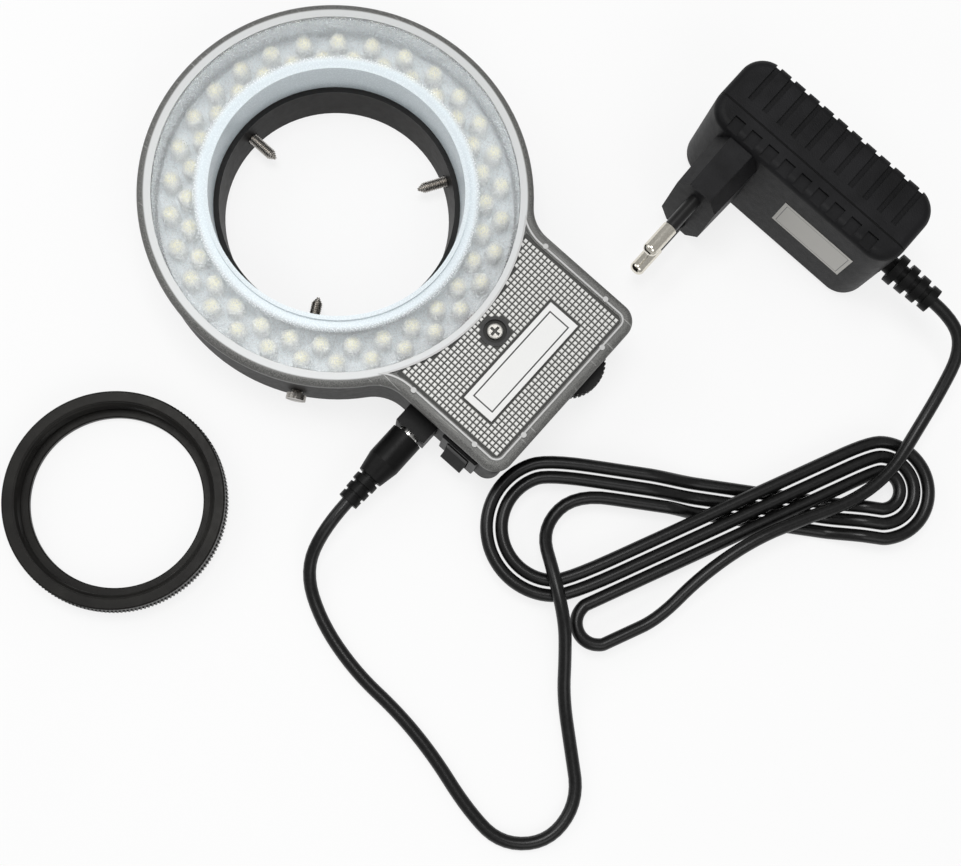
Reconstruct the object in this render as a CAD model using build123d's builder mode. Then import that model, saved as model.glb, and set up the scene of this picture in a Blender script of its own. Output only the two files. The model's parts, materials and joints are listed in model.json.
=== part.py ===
from build123d import *
from math import sin, cos, tan, atan2, hypot, pi, radians, degrees
import os

os.makedirs("parts", exist_ok=True)

# The ring light lies on its back: the bore axis is Z, the handle points along +X, the lamps face +Z.
# All sizes are in millimetres.

# Overall form
ring_radius = 50.0
ring_width = 20.3
handle_half_width = 27.5
handle_length = 28.4
handle_end = ring_radius + handle_length
handle_corner = 5.0
neck_radius = 10.0
overhang = 1.2
wall = 2.0
floor_top = 2.0
split_height = 22.4
cover_height = 2.6
top_height = split_height + cover_height
rim_rounding = 1.5

# Bore
bore_draft = 0.7
bore_back_radius = ring_radius - ring_width
bore_front_radius = bore_back_radius + bore_draft
bore_wall_outer = bore_front_radius + wall
ledge_thickness = 0.5
ledge_step = 0.8
ledge_outer = bore_wall_outer + ledge_step

# Window
bezel_width = 3.6
opening_radius = ring_radius - bezel_width
rebate_width = 1.6
rebate_radius = opening_radius + rebate_width
rebate_height = 1.2
window_clearance = 0.15
window_drop = 0.2
window_top = top_height - window_drop
window_lip_rise = 0.9
window_lip_top = window_top + window_lip_rise
window_thickness = 2.2
window_low = window_top - window_thickness
skirt_step = 1.4
skirt_draft = 0.5
skirt_inner_low = bore_front_radius + skirt_step
skirt_inner_high = skirt_inner_low + skirt_draft
skirt_thickness = 1.1

# Clamp screws
clamp_angles = (180.0, 60.0, -60.0)
screw_height = 5.6
screw_radius = 1.5
screw_reaches = (7.7, 7.5, 6.4)
tip_cone = 1.6
tip_flat = 0.4
head_radius = 2.6
head_depth = 1.5
head_gap = 0.8
head_seat = ring_radius - overhang + head_gap
head_face = head_seat + head_depth
slot_width = 0.6
slot_depth = 0.7
thread_clearance = 0.08
hole_clearance = 0.25
clamp_boss_width = 8.0
clamp_boss_top = 9.4
clamp_boss_end = ring_radius - overhang - wall / 2
nut_flats = 5.5
nut_corner = nut_flats / 3**0.5
nut_thickness = 2.4
nut_wall = 1.8
nut_station = bore_wall_outer + nut_wall
nut_clearance = 0.05
nut_drop = 0.15

# Lamp board
board_thickness = 1.6
lamp_board_gap = 0.8
lamp_board_inner = skirt_inner_high + skirt_thickness + lamp_board_gap
lamp_board_outer = ring_radius - overhang - wall - lamp_board_gap
lamp_count = 30
outer_row_margin = 3.6
inner_row_margin = 3.8
outer_row_radius = lamp_board_outer - outer_row_margin
inner_row_radius = lamp_board_inner + inner_row_margin
lamp_radius = 2.45
lamp_dome_height = 1.9
lamp_dome_taper = 32.0
lamp_window_gap = 3.1
lamp_sides = 8
lamp_board_rise = 1.6
lamp_board_z = clamp_boss_top + lamp_board_rise
lamp_base = lamp_board_z + board_thickness
lamp_body_height = window_low - lamp_window_gap - lamp_dome_height - lamp_base
bore_wall_rise = 0.6
bore_wall_top = lamp_base + bore_wall_rise
board_post_radius = (lamp_board_inner + lamp_board_outer) / 2
board_post_size = 2.0
board_post_count = 6

# Handle panel
panel_inset = 3.3
panel_bezel = 1.9
panel_arc = opening_radius + panel_bezel
panel_depth = 0.6
line_inset = 2.5
line_width = 0.45
line_height = 0.25
nub_radius = 0.7
nub_height = 0.5
nub_side = handle_half_width - line_inset
nub_end = handle_end - line_inset
nub_end_step = 10.0
nub_near_end = handle_end - nub_end_step
nub_ring_step = 1.8
nub_near_ring = ring_radius - nub_ring_step
nub_spread = 15.0
nub_places = (
    (nub_near_ring, nub_side),
    (nub_near_end, nub_side),
    (nub_end, nub_spread),
    (nub_end, -nub_spread),
    (nub_near_end, -nub_side),
    (nub_near_ring, -nub_side),
)
cover_screw_step = 3.2
cover_screw_x = ring_radius + cover_screw_step
collar_radius = 3.8
collar_recess_radius = 3.0
collar_recess_depth = 1.0
cover_screw_head = 2.0
cover_screw_head_height = 0.9
cover_screw_shank = 1.25
cover_screw_length = 12.0
cover_screw_clearance = 0.25
cross_width = 0.7
cross_length = 2.8
cross_depth = 0.5
screw_post_radius = 3.3
sticker_step = 15.2
sticker_side = -1.4
sticker_centre = (handle_end - sticker_step, sticker_side)
sticker_size = (9.1, 33.0)
sticker_thickness = 0.12
locating_lip_depth = 1.6
locating_lip_width = 1.0
locating_clearance = 0.15

# Control board
control_start_step = 3.4
control_end_step = 4.6
control_side_gap = 1.3
control_x = (ring_radius - control_start_step, handle_end - control_end_step)
control_length = control_x[1] - control_x[0]
control_half_width = handle_half_width - overhang - wall - control_side_gap
control_z = 2.4
control_foot_half = 1.5
control_foot_inset = 3.0
component_sizes = ((7.0, 5.0, 3.0), (6.0, 6.0, 4.2), (6.0, 4.0, 1.8))
ribbon_thickness = 0.5
ribbon_half_width = 2.5
ribbon_rise = 2.2
ribbon_start_step = 1.6
ribbon_start = control_x[0] + ribbon_start_step
ribbon_end_step = 0.5
ribbon_end = lamp_board_outer - ribbon_end_step

# Supply jack and plug
jack_step = 3.5
jack_x = ring_radius + jack_step
jack_z = 8.6
jack_width = 9.3
jack_reach = 4.0
jack_face = -handle_half_width - jack_reach
jack_depth = 14.2
jack_bore = 3.1
jack_bore_depth = 11.0
jack_pin_radius = 1.0
jack_pin_step = 2.0
jack_pin_start = jack_face + jack_pin_step
opening_clearance = 0.15
plug_gap = 1.0
plug_length = 22.5
plug_face = jack_face - plug_gap
plug_end = plug_face - plug_length
plug_barrel_radius = 2.75
plug_barrel_bore = 1.35
plug_barrel_depth = 8.5
plug_barrel_tip = jack_face + plug_barrel_depth
plug_barrel_root = 4.0
plug_radius = 4.5
plug_grip_length = 9.0
plug_shoulder = plug_face - plug_grip_length
plug_neck_radius = 3.5
plug_ribs = 3
plug_rib_pitch = 2.8
plug_rib_length = 1.9
plug_rib_taper = 0.22
plug_core_radius = 2.4

# Rocker switch
switch_step = 12.0
switch_x = handle_end - switch_step
switch_margin = 4.9
switch_head_room = 3.3
switch_half_height = (split_height - switch_margin - switch_head_room) / 2
switch_z = switch_margin + switch_half_height
bezel_rim = 0.8
bezel_side = 1.0
switch_body_half = (4.6, switch_half_height)
switch_wall = 1.05
switch_end_wall = 0.7
switch_cavity_half = (switch_body_half[0] - switch_wall, switch_half_height - switch_end_wall)
bezel_thickness = 1.8
switch_depth = 13.0
switch_cavity_depth = 7.5
paddle_side_gap = 0.25
paddle_end_gap = 0.8
paddle_half_width = switch_cavity_half[0] - paddle_side_gap
paddle_half_height = switch_cavity_half[1] - paddle_end_gap
paddle_end_reach = 3.4
paddle_valley_reach = 2.3
paddle_back_reach = 2.6
paddle_back_half = 1.7
paddle_tilt = -9.5
pivot_radius = 1.0
pivot_clearance = 0.05
pivot_half_length = 4.2
pivot_inset = 0.3
terminal_size = (0.8, 6.0, 4.0)
terminal_places = (-4.0, 0.0, 4.0)

# Dimmer
wheel_step = 6.8
wheel_x = handle_end - wheel_step
wheel_y = 9.2
wheel_radius = 9.5
wheel_z = 12.9
wheel_thickness = 3.0
wheel_teeth = 48
wheel_tooth_depth = 0.35
wheel_gap = 0.5
hub_radius = 3.4
hub_height = 1.2
shaft_radius = 2.0
shaft_clearance = 0.05
pot_radius = 6.2
pot_gap = 1.9
pot_height = wheel_z - pot_gap - control_z - board_thickness

# Lead and its tangle, measured from the end of the handle
cord_diameter = 3.4
strand_gap = 0.5
layer_gap = 0.5
loop_count = 3
loop_reach = 56.4
loop_side = 17.0
loop_centre = (handle_end + loop_reach, loop_side)
run_angle = 33.7
cross_angle = 66.0
right_lobe = 8.9
left_lobe = 15.5
turn_back = 5.5
flat_half = 15.0
dip_left = 34.0
tangle_start = -31.0
tangle_lead_in = 19.0
tangle_lead_out = 10.0
tangle_end_run = 5.0

# Mains adapter, measured from the end of the handle
adapter_start = -22.9
adapter_length = 61.0
adapter_x = (handle_end + adapter_start, handle_end + adapter_start + adapter_length)
adapter_y = (75.5, 98.4)
adapter_split = 82.5
adapter_height = 37.0
adapter_corner = 7.0
adapter_rounding = 2.4
shell_wall = 2.0
groove_count = 11
groove_pitch = 4.75
groove_width = 1.5
groove_depth = 1.1
groove_start = 85.5
notch_count = 9
notch_pitch = 5.5
notch_width = 3.4
notch_end = 80.0
notch_depth = 0.8
stub_step = 13.0
stub_x = adapter_x[0] + stub_step
stub_end = 59.5
stub_half_thickness = 6.85
stub_flat_half = 3.6
stub_half_width = 16.4
stub_chamfer_height = 11.0
stub_taper = 0.92
stub_bore_depth = 4.0
pin_spread = 9.3
pin_tip = 40.5
pin_radius = 2.0
pin_neck_radius = 1.3
pin_inner_end = 79.5
sleeve_radius = 1.75
sleeve_end = 49.5
label_step = 30.7
label_size = (22.8, 13.2)
label_x = (adapter_x[0] + label_step, adapter_x[0] + label_step + label_size[0])
label_low = 13.3
label_z = (label_low, label_low + label_size[1])
label_thickness = 0.12
relief_y = 85.0
relief_z = 18.5
relief_length = 15.5
relief_end = adapter_x[1] + relief_length
relief_flange = (4.2, 1.2)
relief_flange_gap = 0.4
relief_neck = 3.4
relief_ribs = 4
relief_rib_pitch = 3.8
relief_rib_length = 2.3
relief_rib_radius = 4.3
relief_rib_taper = 0.25
relief_core = 2.6
supply_board_y = 92.0
supply_board_start = 4.5
supply_board_margin = 5.5
supply_board_x = (adapter_x[0] + supply_board_start, adapter_x[1] - supply_board_margin)
supply_board_z = (3.4, 33.6)
transformer_size = (17.0, 7.5, 18.0)
transformer_step = 28.5
transformer_height = 20.0
transformer_place = (adapter_x[0] + transformer_step, transformer_height)
capacitor_radius = 3.6
capacitor_length = 12.0
capacitor_step = 45.5
capacitor_heights = (10.0, 26.0)
capacitor_places = [(adapter_x[0] + capacitor_step, height) for height in capacitor_heights]
supply_lead_radius = 0.6
strip_size = (5.0, 0.6, 3.0)

# Loose mount ring
mount_distance = 43.9
mount_x = 9.4
mount_y = -ring_radius - mount_distance
mount_height = 8.0
mount_radius = 27.8
knurl_radius = 28.2
knurl_top = 4.2
thread_radius = 24.0
thread_chamfer = 0.8
mount_lip_radius = 21.9
mount_lip_height = 2.2
edge_break = 0.4

# Shares
wheel_slot_share = 1.04
component_shares = ((0.22, 0.72), (0.48, 0.42), (0.14, 0.36))


def radial_plane(angle, height, station):
    """A plane square to the radius at this angle, its normal pointing away from the bore."""
    c, s = cos(radians(angle)), sin(radians(angle))
    return Plane(origin=(station * c, station * s, height), x_dir=(-s, c, 0), z_dir=(c, s, 0))


def body_outline(inset):
    """The ring with its handle, drawn in by the inset, in the sketch in hand."""
    end = handle_end - inset
    Circle(ring_radius - inset)
    with Locations((end / 2, 0)):
        Rectangle(end, 2 * (handle_half_width - inset))
    fillet(vertices().group_by(Axis.X)[-1], handle_corner - inset)
    fillet(vertices().group_by(Axis.X)[0], neck_radius + inset)


# Rear housing
cavity_inset = overhang + wall
with BuildPart() as rear_housing:
    with BuildSketch():
        body_outline(overhang)
    extrude(amount=split_height)
    with BuildSketch(Plane.XY.offset(floor_top)):
        body_outline(cavity_inset)
        Circle(bore_wall_outer, mode=Mode.SUBTRACT)
    extrude(amount=split_height - floor_top, mode=Mode.SUBTRACT)
    with BuildSketch(Plane.XY.offset(bore_wall_top)):
        Circle(bore_wall_outer)
    extrude(amount=split_height - bore_wall_top, mode=Mode.SUBTRACT)
    with BuildSketch(Plane.XY):
        Circle(bore_back_radius)
    with BuildSketch(Plane.XY.offset(bore_wall_top)):
        Circle(bore_front_radius)
    loft(mode=Mode.SUBTRACT)
    # radial bosses that carry the clamp screws
    boss_start = bore_wall_outer - wall / 2
    with BuildSketch(Plane.XY.offset(floor_top)):
        for angle in clamp_angles:
            with PolarLocations((boss_start + clamp_boss_end) / 2, 1, start_angle=angle):
                Rectangle(clamp_boss_end - boss_start, clamp_boss_width)
    extrude(amount=clamp_boss_top - floor_top)
    for angle in clamp_angles:
        with BuildSketch(radial_plane(angle, screw_height, bore_back_radius - wall)):
            Circle(screw_radius + hole_clearance)
        extrude(amount=ring_radius - bore_back_radius + wall, mode=Mode.SUBTRACT)
        with BuildSketch(radial_plane(angle, clamp_boss_top, nut_station - nut_clearance)):
            nut_pocket_depth = clamp_boss_top - screw_height + nut_corner + nut_drop
            Rectangle(nut_flats + 2 * nut_clearance, 2 * nut_pocket_depth)
        extrude(amount=nut_thickness + 2 * nut_clearance, mode=Mode.SUBTRACT)
    # posts under the lamp board, feet under the control board, post for the cover screw
    with BuildSketch(Plane.XY.offset(floor_top)):
        with PolarLocations(board_post_radius, board_post_count, start_angle=180 / board_post_count):
            Circle(board_post_size)
    extrude(amount=lamp_board_z - floor_top)
    with BuildSketch(Plane.XY.offset(floor_top)):
        with Locations((sum(control_x) / 2, 0)):
            with GridLocations(
                control_length - 2 * control_foot_inset, 2 * (control_half_width - control_foot_inset), 2, 2
            ):
                Rectangle(2 * control_foot_half, 2 * control_foot_half)
    extrude(amount=control_z - floor_top)
    with BuildSketch(Plane.XY.offset(floor_top)):
        with Locations((cover_screw_x, 0)):
            Circle(screw_post_radius)
    extrude(amount=split_height - floor_top)
    with BuildSketch(Plane.XY.offset(split_height)):
        with Locations((cover_screw_x, 0)):
            Circle(cover_screw_shank)
    extrude(amount=-cover_screw_length, mode=Mode.SUBTRACT)
    # wall openings for the jack, the switch and the dimmer wheel
    wall_face = handle_half_width - overhang
    jack_height = 2 * (jack_z - control_z - board_thickness)
    with BuildSketch(Plane.XZ.offset(wall_face - 2 * wall)):
        with Locations((jack_x, jack_z)):
            Rectangle(jack_width + 2 * opening_clearance, jack_height + 2 * opening_clearance)
        with Locations((switch_x, switch_z)):
            Rectangle(*[2 * (half + opening_clearance) for half in switch_body_half])
    extrude(amount=4 * wall, mode=Mode.SUBTRACT)
    slot_x = handle_end - overhang - wall
    slot_half = wheel_slot_share * (wheel_radius**2 - (slot_x - wheel_x) ** 2) ** 0.5
    with BuildSketch(Plane.YZ.offset(slot_x - wall)):
        with Locations((wheel_y, wheel_z + wheel_thickness / 2)):
            Rectangle(2 * slot_half, wheel_thickness + 2 * wheel_gap)
    extrude(amount=3 * wall, mode=Mode.SUBTRACT)

# Front cover
plate_floor = top_height - panel_depth
with BuildPart() as front_cover:
    with BuildSketch(Plane.XY.offset(split_height)):
        body_outline(0)
    extrude(amount=top_height - split_height)
    fillet(front_cover.faces().sort_by(Axis.Z)[-1].edges(), rim_rounding)
    with BuildSketch(Plane.XY.offset(split_height)):
        Circle(opening_radius)
    extrude(amount=top_height - split_height, mode=Mode.SUBTRACT)
    with BuildSketch(Plane.XY.offset(split_height)):
        Circle(rebate_radius)
    extrude(amount=rebate_height, mode=Mode.SUBTRACT)
    # recessed panel with its raised line, nubs, screw collar and sticker pad
    with BuildSketch(Plane.XY.offset(plate_floor)):
        body_outline(panel_inset)
        Circle(panel_arc, mode=Mode.SUBTRACT)
        with Locations((cover_screw_x, 0)):
            Circle(collar_radius, mode=Mode.SUBTRACT)
        with Locations(sticker_centre):
            Rectangle(*sticker_size, mode=Mode.SUBTRACT)
    extrude(amount=panel_depth, mode=Mode.SUBTRACT)
    with BuildSketch(Plane.XY.offset(top_height - line_height)):
        body_outline(line_inset)
        Circle(panel_arc - line_width, mode=Mode.SUBTRACT)
        with BuildSketch(mode=Mode.SUBTRACT):
            body_outline(line_inset + line_width)
            Circle(panel_arc, mode=Mode.SUBTRACT)
    extrude(amount=2 * line_height)
    with BuildSketch(Plane.XY.offset(top_height - line_height)):
        with Locations(*nub_places):
            Circle(nub_radius)
    extrude(amount=line_height + nub_height)
    with BuildSketch(Plane.XY.offset(top_height)):
        with Locations((cover_screw_x, 0)):
            Circle(collar_recess_radius)
    extrude(amount=-collar_recess_depth, mode=Mode.SUBTRACT)
    with BuildSketch(Plane.XY.offset(split_height)):
        with Locations((cover_screw_x, 0)):
            Circle(cover_screw_shank + cover_screw_clearance)
    extrude(amount=top_height - split_height, mode=Mode.SUBTRACT)
    # lip that locates the cover inside the handle wall
    lip_inset = cavity_inset + locating_clearance
    with BuildSketch(Plane.XY.offset(split_height)):
        body_outline(lip_inset)
        with BuildSketch(mode=Mode.SUBTRACT):
            body_outline(lip_inset + locating_lip_width)
        Circle(panel_arc, mode=Mode.SUBTRACT)
    extrude(amount=-locating_lip_depth)

# Window, with the skirt that lines the front of the bore
with BuildPart() as window_ring:
    ledge_top = bore_wall_top + ledge_thickness
    with BuildSketch(Plane.XZ):
        Polygon(
            (skirt_inner_low, ledge_top),
            (skirt_inner_low + skirt_thickness, ledge_top),
            (skirt_inner_high + skirt_thickness, window_low),
            (rebate_radius - window_clearance, window_low),
            (rebate_radius - window_clearance, split_height + rebate_height - window_clearance),
            (opening_radius - window_clearance, split_height + rebate_height - window_clearance),
            (opening_radius - window_clearance, window_top),
            (skirt_inner_high + skirt_thickness, window_top),
            (skirt_inner_high + skirt_thickness, window_lip_top),
            (skirt_inner_high, window_lip_top),
            align=None,
        )
    revolve(axis=Axis.Z)

# Black ledge ring on top of the bore wall
with BuildPart() as ledge_ring:
    with BuildSketch(Plane.XY.offset(bore_wall_top)):
        Circle(ledge_outer)
        Circle(bore_front_radius, mode=Mode.SUBTRACT)
    extrude(amount=ledge_thickness)

# Lamp board and its two staggered rows of lamps
with BuildPart() as lamp_board:
    with BuildSketch(Plane.XY.offset(lamp_board_z)):
        Circle(lamp_board_outer)
        Circle(lamp_board_inner, mode=Mode.SUBTRACT)
    extrude(amount=board_thickness)

lamp_step = 360 / lamp_count
with BuildPart() as lamp:
    with BuildSketch(Plane.XY.offset(lamp_base)):
        RegularPolygon(lamp_radius, lamp_sides)
    extrude(amount=lamp_body_height)
    extrude(lamp.faces().sort_by(Axis.Z)[-1], amount=lamp_dome_height, taper=lamp_dome_taper)
with BuildPart() as lamps_outer:
    with PolarLocations(outer_row_radius, lamp_count):
        add(lamp.part)
with BuildPart() as lamps_inner:
    with PolarLocations(inner_row_radius, lamp_count, start_angle=lamp_step / 2):
        add(lamp.part)

# Clamp screws: one build each, because each stands at its own depth
clamp_screws = []
for angle, reach in zip(clamp_angles, screw_reaches):
    tip = bore_back_radius - reach
    with BuildPart() as clamp_screw:
        with BuildSketch(radial_plane(angle, screw_height, tip + tip_cone)):
            Circle(screw_radius)
        extrude(amount=head_seat - tip - tip_cone)
        with BuildSketch(radial_plane(angle, screw_height, tip + tip_cone)):
            Circle(screw_radius)
        with BuildSketch(radial_plane(angle, screw_height, tip)):
            Circle(tip_flat)
        loft()
        with BuildSketch(radial_plane(angle, screw_height, head_seat)):
            Circle(head_radius)
        extrude(amount=head_depth)
        with BuildSketch(radial_plane(angle, screw_height, head_face)):
            Rectangle(2 * head_radius, slot_width)
        extrude(amount=-slot_depth, mode=Mode.SUBTRACT)
    clamp_screws.append(clamp_screw.part)

with BuildPart() as clamp_nuts:
    for angle in clamp_angles:
        with BuildSketch(radial_plane(angle, screw_height, nut_station)):
            RegularPolygon(nut_flats / 2, 6, major_radius=False, rotation=30)
            Circle(screw_radius + thread_clearance, mode=Mode.SUBTRACT)
        extrude(amount=nut_thickness)

# Cover screw
recess_floor = top_height - collar_recess_depth
with BuildPart() as cover_screw:
    with BuildSketch(Plane.XY.offset(recess_floor)):
        with Locations((cover_screw_x, 0)):
            Circle(cover_screw_head)
    extrude(amount=cover_screw_head_height)
    with BuildSketch(Plane.XY.offset(recess_floor)):
        with Locations((cover_screw_x, 0)):
            Circle(cover_screw_shank)
    extrude(amount=-(recess_floor - split_height + cover_screw_length - wall))
    with BuildSketch(Plane.XY.offset(recess_floor + cover_screw_head_height)):
        with Locations((cover_screw_x, 0)):
            Rectangle(cross_length, cross_width)
            Rectangle(cross_width, cross_length)
    extrude(amount=-cross_depth, mode=Mode.SUBTRACT)

with BuildPart() as sticker:
    with BuildSketch(Plane.XY.offset(top_height)):
        with Locations(sticker_centre):
            Rectangle(*sticker_size)
    extrude(amount=sticker_thickness)

# Control board with its components
control_top = control_z + board_thickness
with BuildPart() as control_board:
    with BuildSketch(Plane.XY.offset(control_z)):
        with Locations((sum(control_x) / 2, 0)):
            Rectangle(control_length, 2 * control_half_width)
        with Locations((cover_screw_x, 0)):
            Circle(screw_post_radius + cover_screw_clearance, mode=Mode.SUBTRACT)
    extrude(amount=board_thickness)

with BuildPart() as control_parts:
    for (share_x, share_y), (size_x, size_y, size_z) in zip(component_shares, component_sizes):
        with BuildSketch(Plane.XY.offset(control_top)):
            with Locations((control_x[0] + share_x * control_length, (2 * share_y - 1) * control_half_width)):
                Rectangle(size_x, size_y)
        extrude(amount=size_z)

# ribbon that joins the two boards
with BuildPart() as board_ribbon:
    ribbon_top = lamp_base + ribbon_rise
    with BuildSketch(Plane.XZ):
        Polygon(
            (ribbon_start, control_top),
            (ribbon_start + ribbon_thickness, control_top),
            (ribbon_start + ribbon_thickness, ribbon_top),
            (ribbon_end - ribbon_thickness, ribbon_top),
            (ribbon_end - ribbon_thickness, lamp_base),
            (ribbon_end, lamp_base),
            (ribbon_end, ribbon_top - ribbon_thickness),
            (ribbon_start, ribbon_top - ribbon_thickness),
            align=None,
        )
    extrude(amount=ribbon_half_width, both=True)

# Supply jack and its centre pin
with BuildPart() as supply_jack:
    with BuildSketch(Plane.XZ.offset(-jack_face)):
        with Locations((jack_x, jack_z)):
            Rectangle(jack_width, jack_height)
    extrude(amount=-jack_depth)
    with BuildSketch(Plane.XZ.offset(-jack_face)):
        with Locations((jack_x, jack_z)):
            Circle(jack_bore)
    extrude(amount=-jack_bore_depth, mode=Mode.SUBTRACT)

with BuildPart() as jack_pin:
    with BuildSketch(Plane.XZ.offset(-jack_face - jack_bore_depth)):
        with Locations((jack_x, jack_z)):
            Circle(jack_pin_radius)
    extrude(amount=jack_bore_depth + jack_face - jack_pin_start)
    chamfer(jack_pin.faces().sort_by(Axis.Y)[0].edges(), jack_pin_radius / 3)

# Plug: metal barrel and moulded grip with a ribbed tail
with BuildPart() as plug_barrel:
    with BuildSketch(Plane.XZ.offset(-plug_face + plug_barrel_root)):
        with Locations((jack_x, jack_z)):
            Circle(plug_barrel_radius)
            Circle(plug_barrel_bore, mode=Mode.SUBTRACT)
    extrude(amount=plug_face - plug_barrel_root - plug_barrel_tip)

rib_start = plug_end + plug_ribs * plug_rib_pitch
with BuildPart() as plug_grip:
    with BuildSketch(Plane.XY.offset(jack_z)):
        with BuildLine():
            Polyline(
                (jack_x, plug_face),
                (jack_x + plug_radius, plug_face),
                (jack_x + plug_radius, plug_shoulder),
                (jack_x + plug_neck_radius, rib_start),
                (jack_x, rib_start),
                close=True,
            )
        make_face()
        with Locations((jack_x + plug_core_radius / 2, (rib_start + plug_end) / 2)):
            Rectangle(plug_core_radius, rib_start - plug_end)
        for rib in range(plug_ribs):
            rib_radius = plug_neck_radius - (rib + 1) * plug_rib_taper
            rib_middle = plug_end + plug_rib_length / 2 + (plug_ribs - 1 - rib) * plug_rib_pitch
            with Locations((jack_x + rib_radius / 2, rib_middle)):
                Rectangle(rib_radius, plug_rib_length)
    revolve(axis=Axis((jack_x, 0, jack_z), (0, 1, 0)))
    with BuildSketch(Plane.XZ.offset(-plug_face)):
        with Locations((jack_x, jack_z)):
            Circle(plug_barrel_radius)
    extrude(amount=plug_barrel_root, mode=Mode.SUBTRACT)

# Rocker switch: body with bezel, paddle on its pivot, terminals
pivot_y = -(wall_face - pivot_inset)
with BuildPart() as switch_body:
    with BuildSketch(Plane.XZ.offset(wall_face)):
        with Locations((switch_x, switch_z)):
            Rectangle(2 * (switch_body_half[0] + bezel_side), 2 * (switch_half_height + bezel_rim))
    extrude(amount=bezel_thickness)
    fillet(switch_body.faces().sort_by(Axis.Y)[0].edges(), edge_break)
    with BuildSketch(Plane.XZ.offset(wall_face)):
        with Locations((switch_x, switch_z)):
            Rectangle(*[2 * half for half in switch_body_half])
    extrude(amount=-switch_depth)
    with BuildSketch(Plane.XZ.offset(wall_face + bezel_thickness)):
        with Locations((switch_x, switch_z)):
            Rectangle(*[2 * half for half in switch_cavity_half])
    extrude(amount=-switch_cavity_depth, mode=Mode.SUBTRACT)
    with Locations(Location((switch_x, pivot_y, switch_z), (0, 90, 0))):
        Cylinder(pivot_radius + pivot_clearance, 2 * pivot_half_length, mode=Mode.SUBTRACT)

with BuildPart() as rocker_paddle:
    with BuildSketch(Plane.YZ.offset(switch_x - paddle_half_width)):
        with Locations(Location((pivot_y, switch_z), paddle_tilt)):
            Polygon(
                (-paddle_end_reach, -paddle_half_height),
                (-paddle_valley_reach, 0),
                (-paddle_end_reach, paddle_half_height),
                (0, paddle_half_height),
                (paddle_back_reach, paddle_back_half),
                (paddle_back_reach, -paddle_back_half),
                (0, -paddle_half_height),
                align=None,
            )
    extrude(amount=2 * paddle_half_width)
    with Locations(Location((switch_x, pivot_y, switch_z), (0, 90, 0))):
        Cylinder(pivot_radius, 2 * (pivot_half_length - pivot_clearance))

with BuildPart() as switch_terminals:
    with BuildSketch(Plane.XZ.offset(wall_face - switch_depth)):
        with Locations(*[(switch_x, switch_z + place) for place in terminal_places]):
            Rectangle(terminal_size[2], terminal_size[0])
    extrude(amount=-terminal_size[1])

# Dimmer: potentiometer on the board, shaft and knurled wheel
with BuildPart() as dimmer_pot:
    with BuildSketch(Plane.XY.offset(control_top)):
        with Locations((wheel_x - pot_radius / 2, wheel_y)):
            Rectangle(pot_radius, 2 * pot_radius)
        with Locations((wheel_x, wheel_y)):
            Circle(shaft_radius + wall / 2)
    extrude(amount=pot_height)
    with BuildSketch(Plane.XY.offset(control_top + wall / 2)):
        with Locations((wheel_x, wheel_y)):
            Circle(shaft_radius + shaft_clearance)
    extrude(amount=pot_height, mode=Mode.SUBTRACT)

with BuildPart() as dimmer_shaft:
    shaft_start = control_top + wall / 2 + shaft_clearance
    with BuildSketch(Plane.XY.offset(shaft_start)):
        with Locations((wheel_x, wheel_y)):
            Circle(shaft_radius)
    extrude(amount=wheel_z + wheel_thickness - shaft_start)

with BuildPart() as dimmer_wheel:
    with BuildSketch(Plane.XY.offset(wheel_z)):
        with Locations((wheel_x, wheel_y)):
            Circle(wheel_radius - wheel_tooth_depth)
            with PolarLocations(wheel_radius - wheel_tooth_depth, wheel_teeth):
                Rectangle(2 * wheel_tooth_depth, pi * wheel_radius / wheel_teeth)
    extrude(amount=wheel_thickness)
    with BuildSketch(Plane.XY.offset(wheel_z)):
        with Locations((wheel_x, wheel_y)):
            Circle(hub_radius)
    extrude(amount=-hub_height)
    with BuildSketch(Plane.XY.offset(wheel_z - hub_height)):
        with Locations((wheel_x, wheel_y)):
            Circle(shaft_radius)
    extrude(amount=wheel_thickness + hub_height, mode=Mode.SUBTRACT)

# Lead: its points, the radius of each turn, and its tangle
cord_radius = cord_diameter / 2
pitch = cord_diameter + strand_gap
table_z = cord_radius
low_z = table_z
high_z = low_z + cord_diameter + layer_gap
over_z = high_z + cord_diameter + layer_gap
hump_z = over_z + layer_gap
run_dir = (cos(radians(run_angle)), sin(radians(run_angle)))
run_normal = (-run_dir[1], run_dir[0])
cross_dir = (cos(radians(cross_angle)), sin(radians(cross_angle)))
cross_normal = (-cross_dir[1], cross_dir[0])
half_cross = radians(cross_angle - run_angle) / 2


def on_run(station, loop, z):
    """A point on a low strand, by its distance from the crossing."""
    side = (loop - 1) * pitch
    x = loop_centre[0] + station * run_dir[0] + side * run_normal[0]
    y = loop_centre[1] + station * run_dir[1] + side * run_normal[1]
    return (x, y, z)


def on_cross(station, loop, z):
    """A point on a high strand, by its distance from the crossing."""
    side = (1 - loop) * pitch
    x = loop_centre[0] + station * cross_dir[0] + side * cross_normal[0]
    y = loop_centre[1] + station * cross_dir[1] + side * cross_normal[1]
    return (x, y, z)


def lobe_points(centre, radius, first, sweep, z):
    """Five points on a turn: its ends, its middle and the middles of its halves."""
    angles = [radians(first + sweep * quarter / 4) for quarter in range(5)]
    return [(centre[0] + radius * cos(a), centre[1] + radius * sin(a), z) for a in angles]


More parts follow.
